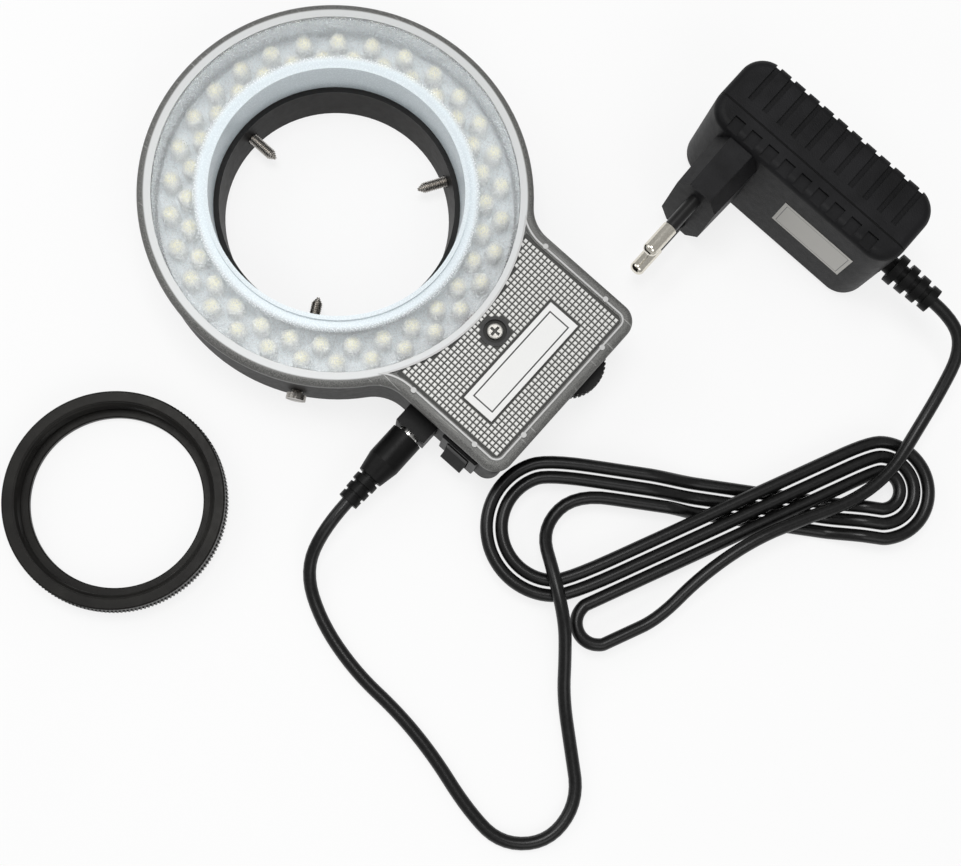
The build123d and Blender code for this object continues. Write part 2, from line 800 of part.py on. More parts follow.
# the lobe centres follow from the two strand directions and the radii
right_station = right_lobe / tan(half_cross)
right_centre = (
    loop_centre[0] + right_station * run_dir[0] + right_lobe * run_normal[0],
    loop_centre[1] + right_station * run_dir[1] + right_lobe * run_normal[1],
)
spread = run_normal[0] * cross_normal[1] - run_normal[1] * cross_normal[0]
low_side, high_side = -(left_lobe - pitch / 2), left_lobe + pitch / 2
left_offset = (
    (low_side * cross_normal[1] - high_side * run_normal[1]) / spread,
    (high_side * run_normal[0] - low_side * cross_normal[0]) / spread,
)
left_centre = (loop_centre[0] + left_offset[0], loop_centre[1] + left_offset[1])
left_cross_station = left_offset[0] * cross_dir[0] + left_offset[1] * cross_dir[1]
lobe_sweep = 180 + cross_angle - run_angle


def step_points(start, end):
    """A rise or fall along a run: two arcs that meet at its middle, by three points each."""
    length = hypot(end[0] - start[0], end[1] - start[1])
    rise = end[2] - start[2]
    bend = (length**2 + rise**2) / (4 * abs(rise))
    turn = 2 * atan2(abs(rise), length)
    along = ((end[0] - start[0]) / length, (end[1] - start[1]) / length)
    reach, lift = bend * sin(turn / 2), bend * (1 - cos(turn / 2)) * (1 if rise > 0 else -1)
    first = (start[0] + reach * along[0], start[1] + reach * along[1], start[2] + lift)
    last = (end[0] - reach * along[0], end[1] - reach * along[1], end[2] - lift)
    middle = tuple((a + b) / 2 for a, b in zip(start, end))
    return first, middle, last


def tangle_pieces():
    """The tangle as a list of straight pieces (2 points) and arcs (3 points), end to end."""
    pieces = []
    at = on_run(tangle_start, 0, high_z)

    def straight(point):
        pieces.append((pieces[-1][-1] if pieces else at, point))

    def step(point):
        start = pieces[-1][-1]
        first, middle, last = step_points(start, point)
        pieces.append((start, first, middle))
        pieces.append((middle, last, point))

    def lobe(points):
        pieces.append(tuple(points[0:3]))
        pieces.append(tuple(points[2:5]))

    for loop in range(loop_count):
        dip = tangle_start + cord_diameter if loop == 0 else -dip_left
        straight(on_run(dip, loop, high_z))
        step(on_run(-flat_half, loop, low_z))
        straight(on_run(flat_half, loop, low_z))
        step(on_run(right_station - strand_gap, loop, high_z))
        straight(on_run(right_station, loop, high_z))
        radius = right_lobe - (loop - 1) * pitch
        lobe(lobe_points(right_centre, radius, run_angle - 90, lobe_sweep, high_z))
        straight(on_cross(left_cross_station, loop, high_z))
        if loop < loop_count - 1:
            radius = left_lobe + (loop - 1) * pitch + pitch / 2
            lobe(lobe_points(left_centre, radius, cross_angle - 90, -lobe_sweep, high_z))
    # the last strand turns back beside the others
    start = on_cross(left_cross_station, loop_count - 1, high_z)
    centre = (start[0] - turn_back * cross_normal[0], start[1] - turn_back * cross_normal[1])
    lobe(lobe_points(centre, turn_back, cross_angle + 90, 180, high_z))
    last = pieces[-1][-1]
    straight((last[0] + tangle_end_run * cross_dir[0], last[1] + tangle_end_run * cross_dir[1], high_z))
    return pieces


pieces = tangle_pieces()
tangle_in, tangle_out = pieces[0][0], pieces[-1][-1]

# each free stretch: distance past the handle's end, place across the handle, height
lamp_side_lay = (
    (-21.4, -75.0, 2.6),
    (-9.4, -82.0, table_z),
    (5.6, -85.5, table_z),
    (20.6, -85.8, table_z),
    (34.6, -88.0, table_z),
    (48.6, -92.0, table_z),
    (61.4, -93.3, table_z),
    (70.6, -84.8, table_z),
    (69.6, -72.0, table_z),
    (59.2, -63.2, table_z),
    (49.4, -55.0, 2.8),
    (42.4, -47.0, 7.0),
    (36.4, -40.9, hump_z),
    (26.8, -34.0, hump_z),
    (16.6, -26.8, high_z),
)
adapter_side_lay = (
    (55.4, -8.5, 8.0),
    (59.4, 7.5, over_z),
    (66.1, 21.0, over_z),
    (73.0, 33.5, over_z),
    (76.3, 46.5, over_z),
    (75.1, 58.8, 10.4),
    (72.2, 70.6, 13.4),
    (67.7, 80.5, 17.2),
    (61.1, relief_y, relief_z),
)
lamp_side_points = [
    (jack_x, plug_end, jack_z),
    (jack_x, plug_end - plug_grip_length, jack_z),
    *[(handle_end + past, across, height) for past, across, height in lamp_side_lay],
    on_run(tangle_start - tangle_lead_in, 0, high_z),
    tangle_in,
]
adapter_side_points = [
    tangle_out,
    (tangle_out[0] + tangle_lead_out * cross_dir[0], tangle_out[1] + tangle_lead_out * cross_dir[1], high_z),
    *[(handle_end + past, across, height) for past, across, height in adapter_side_lay],
    (relief_end, relief_y, relief_z),
]


def turn_radii(points):
    """One radius for each inner point, from the shorter of its two runs and its turn."""
    radii = []
    for before, here, after in zip(points, points[1:], points[2:]):
        back = Vector(*here) - Vector(*before)
        ahead = Vector(*after) - Vector(*here)
        half_turn = radians(back.get_angle(ahead)) / 2
        radii.append(0.45 * min(back.length, ahead.length) / tan(half_turn))
    return radii


def report_route(name, points, radii, length):
    """Prints what the route asks of the lead: its length, tightest turn and longest run."""
    runs = [(Vector(*b) - Vector(*a)).length for a, b in zip(points, points[1:])]
    turns = [
        (Vector(*b) - Vector(*a)).get_angle(Vector(*c) - Vector(*b))
        for a, b, c in zip(points, points[1:], points[2:])
    ]
    print(name, "length", round(length, 1), "longest run", round(max(runs), 1))
    print("   tightest radius", round(min(radii), 2))
    print("   runs", [round(r, 1) for r in runs])
    print("   turns", [round(t) for t in turns], "radii", [round(r, 1) for r in radii])


lamp_radii = turn_radii(lamp_side_points)
with BuildPart() as cord_lamp_side:
    with BuildLine() as lamp_route:
        FilletPolyline(*lamp_side_points, radius=lamp_radii)
    with BuildSketch(Plane(origin=lamp_side_points[0], z_dir=(0, -1, 0))):
        Circle(cord_radius)
    sweep(path=lamp_route.wire())

with BuildPart() as cord_tangle:
    with BuildLine() as tangle_route:
        for piece in pieces:
            if len(piece) == 2:
                Line(*piece)
            else:
                ThreePointArc(*piece)
    with BuildSketch(Plane(origin=tangle_in, z_dir=(*run_dir, 0))):
        Circle(cord_radius)
    sweep(path=tangle_route.wire())

adapter_radii = turn_radii(adapter_side_points)
with BuildPart() as cord_adapter_side:
    with BuildLine() as adapter_route:
        FilletPolyline(*adapter_side_points, radius=adapter_radii)
    with BuildSketch(Plane(origin=tangle_out, z_dir=(*cross_dir, 0))):
        Circle(cord_radius)
    sweep(path=adapter_route.wire())

# Adapter shells
adapter_middle = (sum(adapter_x) / 2, sum(adapter_y) / 2)
adapter_size = (adapter_length, adapter_y[1] - adapter_y[0])

# both shells are cut from one hollow block
with BuildPart() as adapter_whole:
    with BuildSketch():
        with Locations(adapter_middle):
            RectangleRounded(*adapter_size, adapter_corner)
    extrude(amount=adapter_height)
    fillet(adapter_whole.faces().filter_by(Axis.Z).edges(), adapter_rounding)
    with BuildSketch(Plane.XY.offset(shell_wall)):
        with Locations(adapter_middle):
            RectangleRounded(*[side - 2 * shell_wall for side in adapter_size], adapter_corner - shell_wall)
    extrude(amount=adapter_height - 2 * shell_wall, mode=Mode.SUBTRACT)
    with BuildSketch(Plane.YZ.offset(adapter_x[1] - 2 * shell_wall)):
        with Locations((relief_y, relief_z)):
            Circle(relief_neck)
    extrude(amount=3 * shell_wall, mode=Mode.SUBTRACT)

with BuildPart() as adapter_back:
    add(adapter_whole.part)
    split(bisect_by=Plane.XZ.offset(-adapter_split), keep=Keep.BOTTOM)
    groove_span = (groove_count - 1) * groove_pitch
    for groove in range(groove_count):
        groove_x = adapter_middle[0] - groove_span / 2 + groove * groove_pitch
        with BuildSketch(Plane.YZ.offset(groove_x - groove_width / 2)):
            Polygon(
                (groove_start, adapter_height + groove_depth),
                (adapter_y[1] + groove_depth, adapter_height + groove_depth),
                (adapter_y[1] + groove_depth, -groove_depth),
                (groove_start, -groove_depth),
                (groove_start, groove_depth),
                (adapter_y[1] - groove_depth, groove_depth),
                (adapter_y[1] - groove_depth, adapter_height - groove_depth),
                (groove_start, adapter_height - groove_depth),
                align=None,
            )
        extrude(amount=groove_width, mode=Mode.SUBTRACT)

with BuildPart() as adapter_front:
    add(adapter_whole.part)
    split(bisect_by=Plane.XZ.offset(-adapter_split), keep=Keep.TOP)
    for end_z in (0, adapter_height):
        with BuildSketch(Plane.XY.offset(end_z)):
            with Locations((adapter_middle[0], (notch_end + adapter_y[0] - wall) / 2)):
                with GridLocations(notch_pitch, 0, notch_count, 1):
                    Rectangle(notch_width, notch_end - adapter_y[0] + wall)
        extrude(amount=notch_depth, both=True, mode=Mode.SUBTRACT)
    stub_outline = (
        (stub_flat_half, stub_half_width),
        (stub_half_thickness, stub_chamfer_height),
        (stub_half_thickness, -stub_chamfer_height),
        (stub_flat_half, -stub_half_width),
        (-stub_flat_half, -stub_half_width),
        (-stub_half_thickness, -stub_chamfer_height),
        (-stub_half_thickness, stub_chamfer_height),
        (-stub_flat_half, stub_half_width),
    )
    with BuildSketch(Plane.XZ.offset(-adapter_y[0] - shell_wall / 2)):
        with Locations((stub_x, relief_z)):
            Polygon(*stub_outline, align=None)
    with BuildSketch(Plane.XZ.offset(-stub_end)):
        with Locations((stub_x, relief_z)):
            Polygon(*[(stub_taper * x, stub_taper * z) for x, z in stub_outline], align=None)
    loft()
    with BuildSketch(Plane.XZ.offset(-stub_end)):
        with Locations((stub_x, relief_z - pin_spread), (stub_x, relief_z + pin_spread)):
            Circle(sleeve_radius)
    extrude(amount=-stub_bore_depth, mode=Mode.SUBTRACT)
    with BuildSketch(Plane.XZ.offset(-stub_end)):
        with Locations((stub_x, relief_z - pin_spread), (stub_x, relief_z + pin_spread)):
            Circle(pin_neck_radius)
    extrude(amount=stub_end - pin_inner_end, mode=Mode.SUBTRACT)

# Mains pins and their sleeves
with BuildPart() as mains_pins:
    for side in (-pin_spread, pin_spread):
        with BuildSketch(Plane.XZ.offset(-pin_tip)):
            with Locations((stub_x, relief_z + side)):
                Circle(pin_radius)
        extrude(amount=pin_tip - sleeve_end)
        with BuildSketch(Plane.XZ.offset(-sleeve_end)):
            with Locations((stub_x, relief_z + side)):
                Circle(pin_neck_radius)
        extrude(amount=sleeve_end - pin_inner_end)
    fillet(mains_pins.edges().group_by(Axis.Y)[0], pin_radius * 0.75)

with BuildPart() as pin_sleeves:
    with BuildSketch(Plane.XZ.offset(-sleeve_end)):
        with Locations((stub_x, relief_z - pin_spread), (stub_x, relief_z + pin_spread)):
            Circle(sleeve_radius)
            Circle(pin_neck_radius, mode=Mode.SUBTRACT)
    extrude(amount=sleeve_end - stub_end - stub_bore_depth)

with BuildPart() as contact_strips:
    with BuildSketch(Plane.XZ.offset(-pin_inner_end)):
        with Locations((stub_x, relief_z - pin_spread), (stub_x, relief_z + pin_spread)):
            Rectangle(strip_size[0], strip_size[2])
    extrude(amount=-strip_size[1])

# Bare label plate, strain relief, and what the adapter holds
with BuildPart() as adapter_label:
    with BuildSketch(Plane.XZ.offset(-adapter_y[0])):
        with Locations((sum(label_x) / 2, sum(label_z) / 2)):
            Rectangle(*label_size)
    extrude(amount=label_thickness)

relief_start = adapter_x[1]
rib_first = relief_end - relief_ribs * relief_rib_pitch + (relief_rib_pitch - relief_rib_length)
with BuildPart() as adapter_relief:
    with BuildSketch(Plane.XY.offset(relief_z)):
        neck_length = shell_wall + relief_flange_gap
        with Locations((relief_start - neck_length - relief_flange[1] / 2, relief_y + relief_flange[0] / 2)):
            Rectangle(relief_flange[1], relief_flange[0])
        with Locations((relief_start - neck_length / 2, relief_y + relief_neck / 2)):
            Rectangle(neck_length, relief_neck)
        with Locations(((relief_start + relief_end) / 2, relief_y + relief_core / 2)):
            Rectangle(relief_end - relief_start, relief_core)
        for rib in range(relief_ribs):
            rib_radius = relief_rib_radius - rib * relief_rib_taper
            rib_middle = rib_first + rib * relief_rib_pitch + relief_rib_length / 2
            with Locations((rib_middle, relief_y + rib_radius / 2)):
                Rectangle(relief_rib_length, rib_radius)
    revolve(axis=Axis((0, relief_y, relief_z), (1, 0, 0)))

with BuildPart() as supply_board:
    with BuildSketch(Plane.XZ.offset(-supply_board_y)):
        with Locations((sum(supply_board_x) / 2, sum(supply_board_z) / 2)):
            Rectangle(supply_board_x[1] - supply_board_x[0], supply_board_z[1] - supply_board_z[0])
    extrude(amount=-board_thickness)

with BuildPart() as supply_leads:
    with BuildSketch(Plane.XZ.offset(-supply_board_y)):
        with Locations((stub_x, relief_z - pin_spread), (stub_x, relief_z + pin_spread)):
            Circle(supply_lead_radius)
    extrude(amount=supply_board_y - pin_inner_end - strip_size[1])

with BuildPart() as transformer:
    with BuildSketch(Plane.XZ.offset(-supply_board_y)):
        with Locations(transformer_place):
            Rectangle(transformer_size[0], transformer_size[2])
    extrude(amount=transformer_size[1])

with BuildPart() as supply_capacitors:
    with BuildSketch(Plane.XZ.offset(-supply_board_y)):
        with Locations(*capacitor_places):
            Circle(capacitor_radius)
    extrude(amount=capacitor_length / 2)

# Loose mount ring
with BuildPart() as mount_ring:
    with BuildSketch(Plane.XZ.offset(-mount_y)):
        with BuildLine():
            Polyline(
                (mount_x + mount_lip_radius, 0),
                (mount_x + knurl_radius - edge_break, 0),
                (mount_x + knurl_radius, edge_break),
                (mount_x + knurl_radius, knurl_top - edge_break),
                (mount_x + mount_radius, knurl_top),
                (mount_x + mount_radius, mount_height - edge_break),
                (mount_x + mount_radius - edge_break, mount_height),
                (mount_x + thread_radius + thread_chamfer, mount_height),
                (mount_x + thread_radius, mount_height - thread_chamfer),
                (mount_x + thread_radius, mount_lip_height),
                (mount_x + mount_lip_radius, mount_lip_height),
                close=True,
            )
        make_face()
    revolve(axis=Axis((mount_x, mount_y, 0), (0, 0, 1)))

nodes = {
    "rear_housing": rear_housing.part,
    "front_cover": front_cover.part,
    "window_ring": window_ring.part,
    "ledge_ring": ledge_ring.part,
    "lamp_board": lamp_board.part,
    "lamps_outer": lamps_outer.part,
    "lamps_inner": lamps_inner.part,
    "clamp_screw_1": clamp_screws[0],
    "clamp_screw_2": clamp_screws[1],
    "clamp_screw_3": clamp_screws[2],
    "clamp_nuts": clamp_nuts.part,
    "cover_screw": cover_screw.part,
    "sticker": sticker.part,
    "control_board": control_board.part,
    "control_parts": control_parts.part,
    "board_ribbon": board_ribbon.part,
    "supply_jack": supply_jack.part,
    "jack_pin": jack_pin.part,
    "plug_barrel": plug_barrel.part,
    "plug_grip": plug_grip.part,
    "switch_body": switch_body.part,
    "rocker_paddle": rocker_paddle.part,
    "switch_terminals": switch_terminals.part,
    "dimmer_pot": dimmer_pot.part,
    "dimmer_shaft": dimmer_shaft.part,
    "dimmer_wheel": dimmer_wheel.part,
    "cord_lamp_side": cord_lamp_side.part,
    "cord_tangle": cord_tangle.part,
    "cord_adapter_side": cord_adapter_side.part,
    "adapter_front": adapter_front.part,
    "adapter_back": adapter_back.part,
    "mains_pins": mains_pins.part,
    "pin_sleeves": pin_sleeves.part,
    "contact_strips": contact_strips.part,
    "adapter_label": adapter_label.part,
    "adapter_relief": adapter_relief.part,
    "supply_board": supply_board.part,
    "supply_leads": supply_leads.part,
    "transformer": transformer.part,
    "supply_capacitors": supply_capacitors.part,
    "mount_ring": mount_ring.part,
}
for label, solid in nodes.items():
    solid.label = label
    export_step(solid, f"parts/{label}.step")

# What the lead's route comes to
section = pi * cord_radius**2
for name, route, solid in (
    ("lamp side", lamp_route, cord_lamp_side),
    ("tangle", tangle_route, cord_tangle),
    ("adapter side", adapter_route, cord_adapter_side),
):
    length = route.wire().length
    print(name, "length", round(length, 1), "volume share", round(solid.part.volume / (length * section), 4))
report_route("lamp side", lamp_side_points, lamp_radii, lamp_route.wire().length)
report_route("adapter side", adapter_side_points, adapter_radii, adapter_route.wire().length)


def least_gap(route_a, route_b, same):
    """The least clear gap between two stretches of the lead, measured on points along them."""
    points_a = [route_a @ (i / 900) for i in range(901)]
    points_b = [route_b @ (i / 900) for i in range(901)]
    step_a = route_a.length / 900
    least = 1e9
    for i, a in enumerate(points_a):
        for j, b in enumerate(points_b):
            if same and abs(i - j) * step_a < 4 * cord_diameter:
                continue
            least = min(least, (a - b).length)
    return least - cord_diameter


tangle_gap = least_gap(tangle_route.wire(), tangle_route.wire(), True)
print("least gap of the tangle to itself", round(tangle_gap, 2))
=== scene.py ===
# %% [markdown]
# # A microscope ring light, dressed for a photograph
#
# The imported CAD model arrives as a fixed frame: every solid is already in its place. This lesson
# gives each solid a surface, adds the fine shapes that the CAD leaves out, lays the lead on the
# table, and sets up a camera and soft lights.
#
# We start by loading the frame and by noting how much room it takes. Blender counts in metres. The
# shapes here are worked out in millimetres, in the frame's own axes, and `MM` turns one into the
# other.

import json
import math

import bpy
import numpy as np
from mathutils import Matrix, Vector


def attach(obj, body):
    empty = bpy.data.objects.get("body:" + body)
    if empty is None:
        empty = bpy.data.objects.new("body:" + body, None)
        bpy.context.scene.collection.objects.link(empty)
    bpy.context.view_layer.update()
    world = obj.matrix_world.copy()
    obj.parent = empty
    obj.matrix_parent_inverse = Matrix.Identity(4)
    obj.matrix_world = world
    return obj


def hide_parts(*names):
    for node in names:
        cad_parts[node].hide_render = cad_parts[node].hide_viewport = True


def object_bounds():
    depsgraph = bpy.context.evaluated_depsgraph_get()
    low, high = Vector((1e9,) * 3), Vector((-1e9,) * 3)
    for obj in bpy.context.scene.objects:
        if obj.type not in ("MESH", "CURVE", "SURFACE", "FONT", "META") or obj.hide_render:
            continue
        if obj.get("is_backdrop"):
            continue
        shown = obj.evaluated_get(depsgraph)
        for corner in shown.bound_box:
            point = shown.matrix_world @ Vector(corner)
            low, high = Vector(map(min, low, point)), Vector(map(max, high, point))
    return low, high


MM = 0.001
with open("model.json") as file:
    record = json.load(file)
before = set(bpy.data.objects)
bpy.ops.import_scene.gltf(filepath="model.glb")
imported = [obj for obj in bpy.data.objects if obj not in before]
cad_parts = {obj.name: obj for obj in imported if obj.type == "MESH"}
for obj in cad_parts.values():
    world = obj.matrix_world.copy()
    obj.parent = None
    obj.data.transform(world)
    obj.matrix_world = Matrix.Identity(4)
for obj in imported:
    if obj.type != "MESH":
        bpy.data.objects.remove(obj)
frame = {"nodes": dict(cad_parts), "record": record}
start_low, start_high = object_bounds()
nodes = frame["nodes"]
scene = bpy.context.scene


def box_size(low, high):
    """The three sides of a box, as words."""
    return " x ".join(f"{(b - a) / MM:.1f}" for a, b in zip(low, high)) + " mm"


print(f"{len(nodes)} solids in a box of {box_size(start_low, start_high)}")

# %% [markdown]
# ## The camera
#
# The photograph was taken from almost straight above. Its camera's place, line of sight and up
# direction are three measured vectors, and from these we can build the camera's own axes. A camera
# looks along its own -Z, so its Z axis is the opposite of the line of sight, and its X axis is the
# cross product of up and Z. Three axes as the columns of a matrix are a rotation, which needs no
# angles.

# %% Camera
camera_place = Vector((0.08418, -0.08915, 0.41547))
line_of_sight = Vector((-0.04180, 0.16981, -0.98459))
picture_up = Vector((-0.66416, 0.73148, 0.15435))
camera_data = bpy.data.cameras.new("camera")
camera_data.lens = 60.0
camera_data.sensor_width = 36.0
camera_data.clip_end = 10.0
camera = bpy.data.objects.new("camera", camera_data)
scene.collection.objects.link(camera)
camera_z = -line_of_sight.normalized()
camera_x = picture_up.cross(camera_z).normalized()
camera_y = camera_z.cross(camera_x)
camera_turn = Matrix((camera_x, camera_y, camera_z)).transposed().to_4x4()
camera.matrix_world = Matrix.Translation(camera_place) @ camera_turn
scene.camera = camera
camera_tilt = math.degrees(camera_z.angle(Vector((0.0, 0.0, 1.0))))
print(f"camera {camera_place.z / MM:.0f} mm above the table, {camera_tilt:.1f} degrees from straight down")

# %% [markdown]
# ## The lead
#
# The lead is a limp rubber cord from the plug to the adapter. It could be a mesh, but a curve with
# a round bevel keeps one smooth line and an even thickness. Where the lead lies free, the line
# follows listed points. In the middle it is a tangle, which we work out: a figure of eight
# wound three times.
#
# The curve is a quadratic NURBS. Such a curve touches the middle of every leg of its control
# polygon, so an arc needs control points where the tangents of its ends meet: at radius / cos(half
# the step) from the centre.
#
# A strand that lies on the table has its middle half a diameter up. A strand on top of another is a
# diameter and a small gap higher. The free ends meet the plug beside the handle and the adapter's
# strain relief.

# %% Sizes of the lead
cord_diameter = 3.4
strand_gap = 0.5
layer_gap = 0.5
pitch = cord_diameter + strand_gap
low_z = cord_diameter / 2
high_z = low_z + cord_diameter + layer_gap
over_z = high_z + cord_diameter + layer_gap
hump_z = over_z + layer_gap
handle_end = 78.4
jack_x = 53.5
jack_z = 8.6
plug_end = -55.0
plug_grip = 9.0
relief_end = handle_end + 53.6
relief_y = 85.0
relief_z = 18.5
print(f"strand heights {low_z:.1f}, {high_z:.1f}, {over_z:.1f} and {hump_z:.1f} mm")

# %% [markdown]
# The tangle is built on two directions. The low strands run at `run_angle`, and the high strands
# cross them at `cross_angle`. The strands of one direction lie side by side, one pitch apart. The
# right lobe leads each low strand into a high one, and the left lobe leads on to the next low one.
#
# A low strand begins to dip at `dip_left` and lies flat for `flat_half` on each side of the
# crossing. `turn_back` is the radius of the last turn. `lead_in` and `lead_out` are the distances
# to the nearest points of the free stretches, and `end_run` is the straight end of the last strand.

# %% Sizes of the tangle
loop_count = 3
loop_centre = np.array((handle_end + 56.4, 17.0))
run_angle = 33.7
cross_angle = 66.0
right_lobe = 8.9
left_lobe = 15.5
turn_back = 5.5
flat_half = 15.0
dip_left = 34.0
tangle_start = -31.0
lead_in = 19.0
lead_out = 10.0
end_run = 5.0


def unit(degrees):
    """The direction at this angle in the plane of the table."""
    return np.array((math.cos(math.radians(degrees)), math.sin(math.radians(degrees))))


run_dir, cross_dir = unit(run_angle), unit(cross_angle)
run_normal, cross_normal = unit(run_angle + 90), unit(cross_angle + 90)
print(f"strands cross at {cross_angle - run_angle:.1f} degrees")


# %% [markdown]
# Three helpers place points. `lift` raises a point of the table plane to a height. The other two
# walk along one strand, a number of millimetres from where the two directions cross.

# %% Points on the strands
def lift(flat, z):
    """A point of the table plane, raised to height z."""
    return (float(flat[0]), float(flat[1]), float(z))


def on_run(station, loop):
    """A point on a low strand, by its distance from the crossing."""
    return loop_centre + station * run_dir + (loop - 1) * pitch * run_normal


def on_cross(station, loop):
    """A point on a high strand, by its distance from the crossing."""
    return loop_centre + station * cross_dir + (1 - loop) * pitch * cross_normal


print("crossing of the middle strands at", on_run(0.0, 1))

# %% [markdown]
# The two lobes are circles that touch a low strand and a high strand. The right one keeps the same
# distance from both lines. The left one joins each loop to the next, so its distances differ by one
# pitch, and its centre is where two shifted lines meet: two equations for two unknowns.

# %% Centres of the lobes
half_cross = math.radians(cross_angle - run_angle) / 2
right_station = right_lobe / math.tan(half_cross)
right_centre = loop_centre + right_station * run_dir + right_lobe * run_normal
sides = np.array((run_normal, cross_normal))
left_distances = np.array((-(left_lobe - pitch / 2), left_lobe + pitch / 2))
left_offset = np.linalg.solve(sides, left_distances)
left_centre = loop_centre + left_offset
left_cross_station = float(left_offset @ cross_dir)
lobe_sweep = 180 + cross_angle - run_angle
print(f"each lobe sweeps {lobe_sweep:.1f} degrees, {np.linalg.norm(right_centre - left_centre):.1f} mm apart")


# %% [markdown]
# Two kinds of stretch repeat in the tangle: an arc round a lobe, and a smooth step from one height
# to another. Each is given by a few control points, because the curve between them bends evenly.

# %% Arcs and steps
def arc_controls(centre, radius, first, sweep, z, legs=8):
    """Control points round an arc. Each stands where two tangents meet."""
    step = sweep / legs
    reach = radius / math.cos(math.radians(step / 2))
    return [lift(centre + reach * unit(first + step * (leg + 0.5)), z) for leg in range(legs)]


def step_controls(start, end, z_start, z_end):
    """Control points of a smooth rise or fall: two arcs whose shared tangent is the steep part."""
    length, rise = float(np.linalg.norm(end - start)), abs(z_end - z_start)
    bend = (length**2 + rise**2) / (4 * rise)
    reach = bend * math.tan(math.atan2(rise, length))
    along = (end - start) / length
    return [
        lift(start, z_start),
        lift(start + reach * along, z_start),
        lift(end - reach * along, z_end),
        lift(end, z_end),
    ]


# %% [markdown]
# Now the loops themselves. Each low strand dips to the table under the crossing and climbs again,
# turns round the right lobe, comes back over the crossing and turns round the left lobe. The last
# strand turns back beside the others and leaves.

# %% Wind the loops
tangle = [lift(on_run(tangle_start, 0), high_z)]
rise_end = right_station - strand_gap
for loop in range(loop_count):
    dip = tangle_start + cord_diameter if loop == 0 else -dip_left
    tangle += step_controls(on_run(dip, loop), on_run(-flat_half, loop), high_z, low_z)
    tangle += step_controls(on_run(flat_half, loop), on_run(rise_end, loop), low_z, high_z)
    radius = right_lobe - (loop - 1) * pitch
    tangle += arc_controls(right_centre, radius, run_angle - 90, lobe_sweep, high_z)
    tangle.append(lift(on_cross(right_station / 2, loop), high_z))
    tangle.append(lift(on_cross(left_cross_station / 2, loop), high_z))
    if loop < loop_count - 1:
        radius = left_lobe + (loop - 1) * pitch + pitch / 2
        tangle += arc_controls(left_centre, radius, cross_angle - 90, -lobe_sweep, high_z)
turn_start = on_cross(left_cross_station, loop_count - 1)
turn_centre = turn_start - turn_back * cross_normal
turn_end = turn_start - 2 * turn_back * cross_normal
tangle_out = turn_end + end_run * cross_dir
tangle.append(lift(turn_start, high_z))
tangle += arc_controls(turn_centre, turn_back, cross_angle + 90, 180, high_z, legs=6)
tangle.append(lift(turn_end, high_z))
tangle.append(lift(tangle_out, high_z))
print(f"tangle: {loop_count} loops, {len(tangle)} control points")

# %% [markdown]
# The free stretches, point by point: from the plug to the tangle, and from the tangle to the
# adapter. Each row is a distance past the handle's end, a place across the handle and a height.

# %% Free stretches
lamp_side_lay = (
    (-21.4, -75.0, 2.6),
    (-9.4, -82.0, low_z),
    (5.6, -85.5, low_z),
    (20.6, -85.8, low_z),
    (34.6, -88.0, low_z),
    (48.6, -92.0, low_z),
    (61.4, -93.3, low_z),
    (70.6, -84.8, low_z),
    (69.6, -72.0, low_z),
    (59.2, -63.2, low_z),
    (49.4, -55.0, 2.8),
    (42.4, -47.0, 7.0),
    (36.4, -40.9, hump_z),
    (26.8, -34.0, hump_z),
    (16.6, -26.8, high_z),
)
adapter_side_lay = (
    (55.4, -8.5, 8.0),
    (59.4, 7.5, over_z),
    (66.1, 21.0, over_z),
    (73.0, 33.5, over_z),
    (75.4, 46.0, over_z),
    (73.6, 57.8, 9.9),
    (71.2, 69.9, 12.6),
    (67.7, 80.5, 17.2),
    (61.1, relief_y, relief_z),
)
lamp_side = [(jack_x, plug_end, jack_z), (jack_x, plug_end - plug_grip, jack_z)]
lamp_side += [(handle_end + past, across, z) for past, across, z in lamp_side_lay]
lamp_side.append(lift(on_run(tangle_start - lead_in, 0), high_z))
adapter_side = [lift(tangle_out + lead_out * cross_dir, high_z)]
adapter_side += [(handle_end + past, across, z) for past, across, z in adapter_side_lay]
adapter_side.append((relief_end, relief_y, relief_z))
print(f"free stretches: {len(lamp_side)} and {len(adapter_side)} control points")

# %% [markdown]
# The three stretches become one curve. Every point carries the cord's radius, and the bevel is 1,
# so the tube's radius is their product. The other way round, with points of radius 1, the curve's
# box would be a metre too wide on each side, and a camera that frames the box would stand far off.
# The curve moves with the lead's body and stands for the three solids of the lead.

# %% The lead's curve
lead_points = np.array(lamp_side + tangle + adapter_side) * MM
lead_data = bpy.data.curves.new("lead", "CURVE")
lead_data.dimensions = "3D"
spline = lead_data.splines.new("NURBS")
spline.points.add(len(lead_points) - 1)
spline.points.foreach_set("co", np.column_stack((lead_points, np.ones(len(lead_points)))).ravel())
spline.points.foreach_set("radius", np.full(len(lead_points), cord_diameter / 2 * MM))
spline.order_u = 3
spline.use_endpoint_u = True
spline.resolution_u = 6
lead_data.bevel_depth = 1.0
lead_data.bevel_resolution = 5
lead_data.use_fill_caps = True
lead = bpy.data.objects.new("lead", lead_data)
scene.collection.objects.link(lead)
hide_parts("cord_lamp_side", "cord_tangle", "cord_adapter_side")
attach(lead, "power_lead")
polygon_length = np.linalg.norm(np.diff(lead_points, axis=0), axis=1).sum()
print(f"lead: {len(lead_points)} control points, {polygon_length:.2f} m round their corners")

# %% [markdown]
# ## Writing shaders as formulas
#
# A shader is a graph of nodes, but it reads better as arithmetic. `Field` wraps one output of a
# node, and its operators add the matching Math nodes, so that `1.0 - mask` works as written.

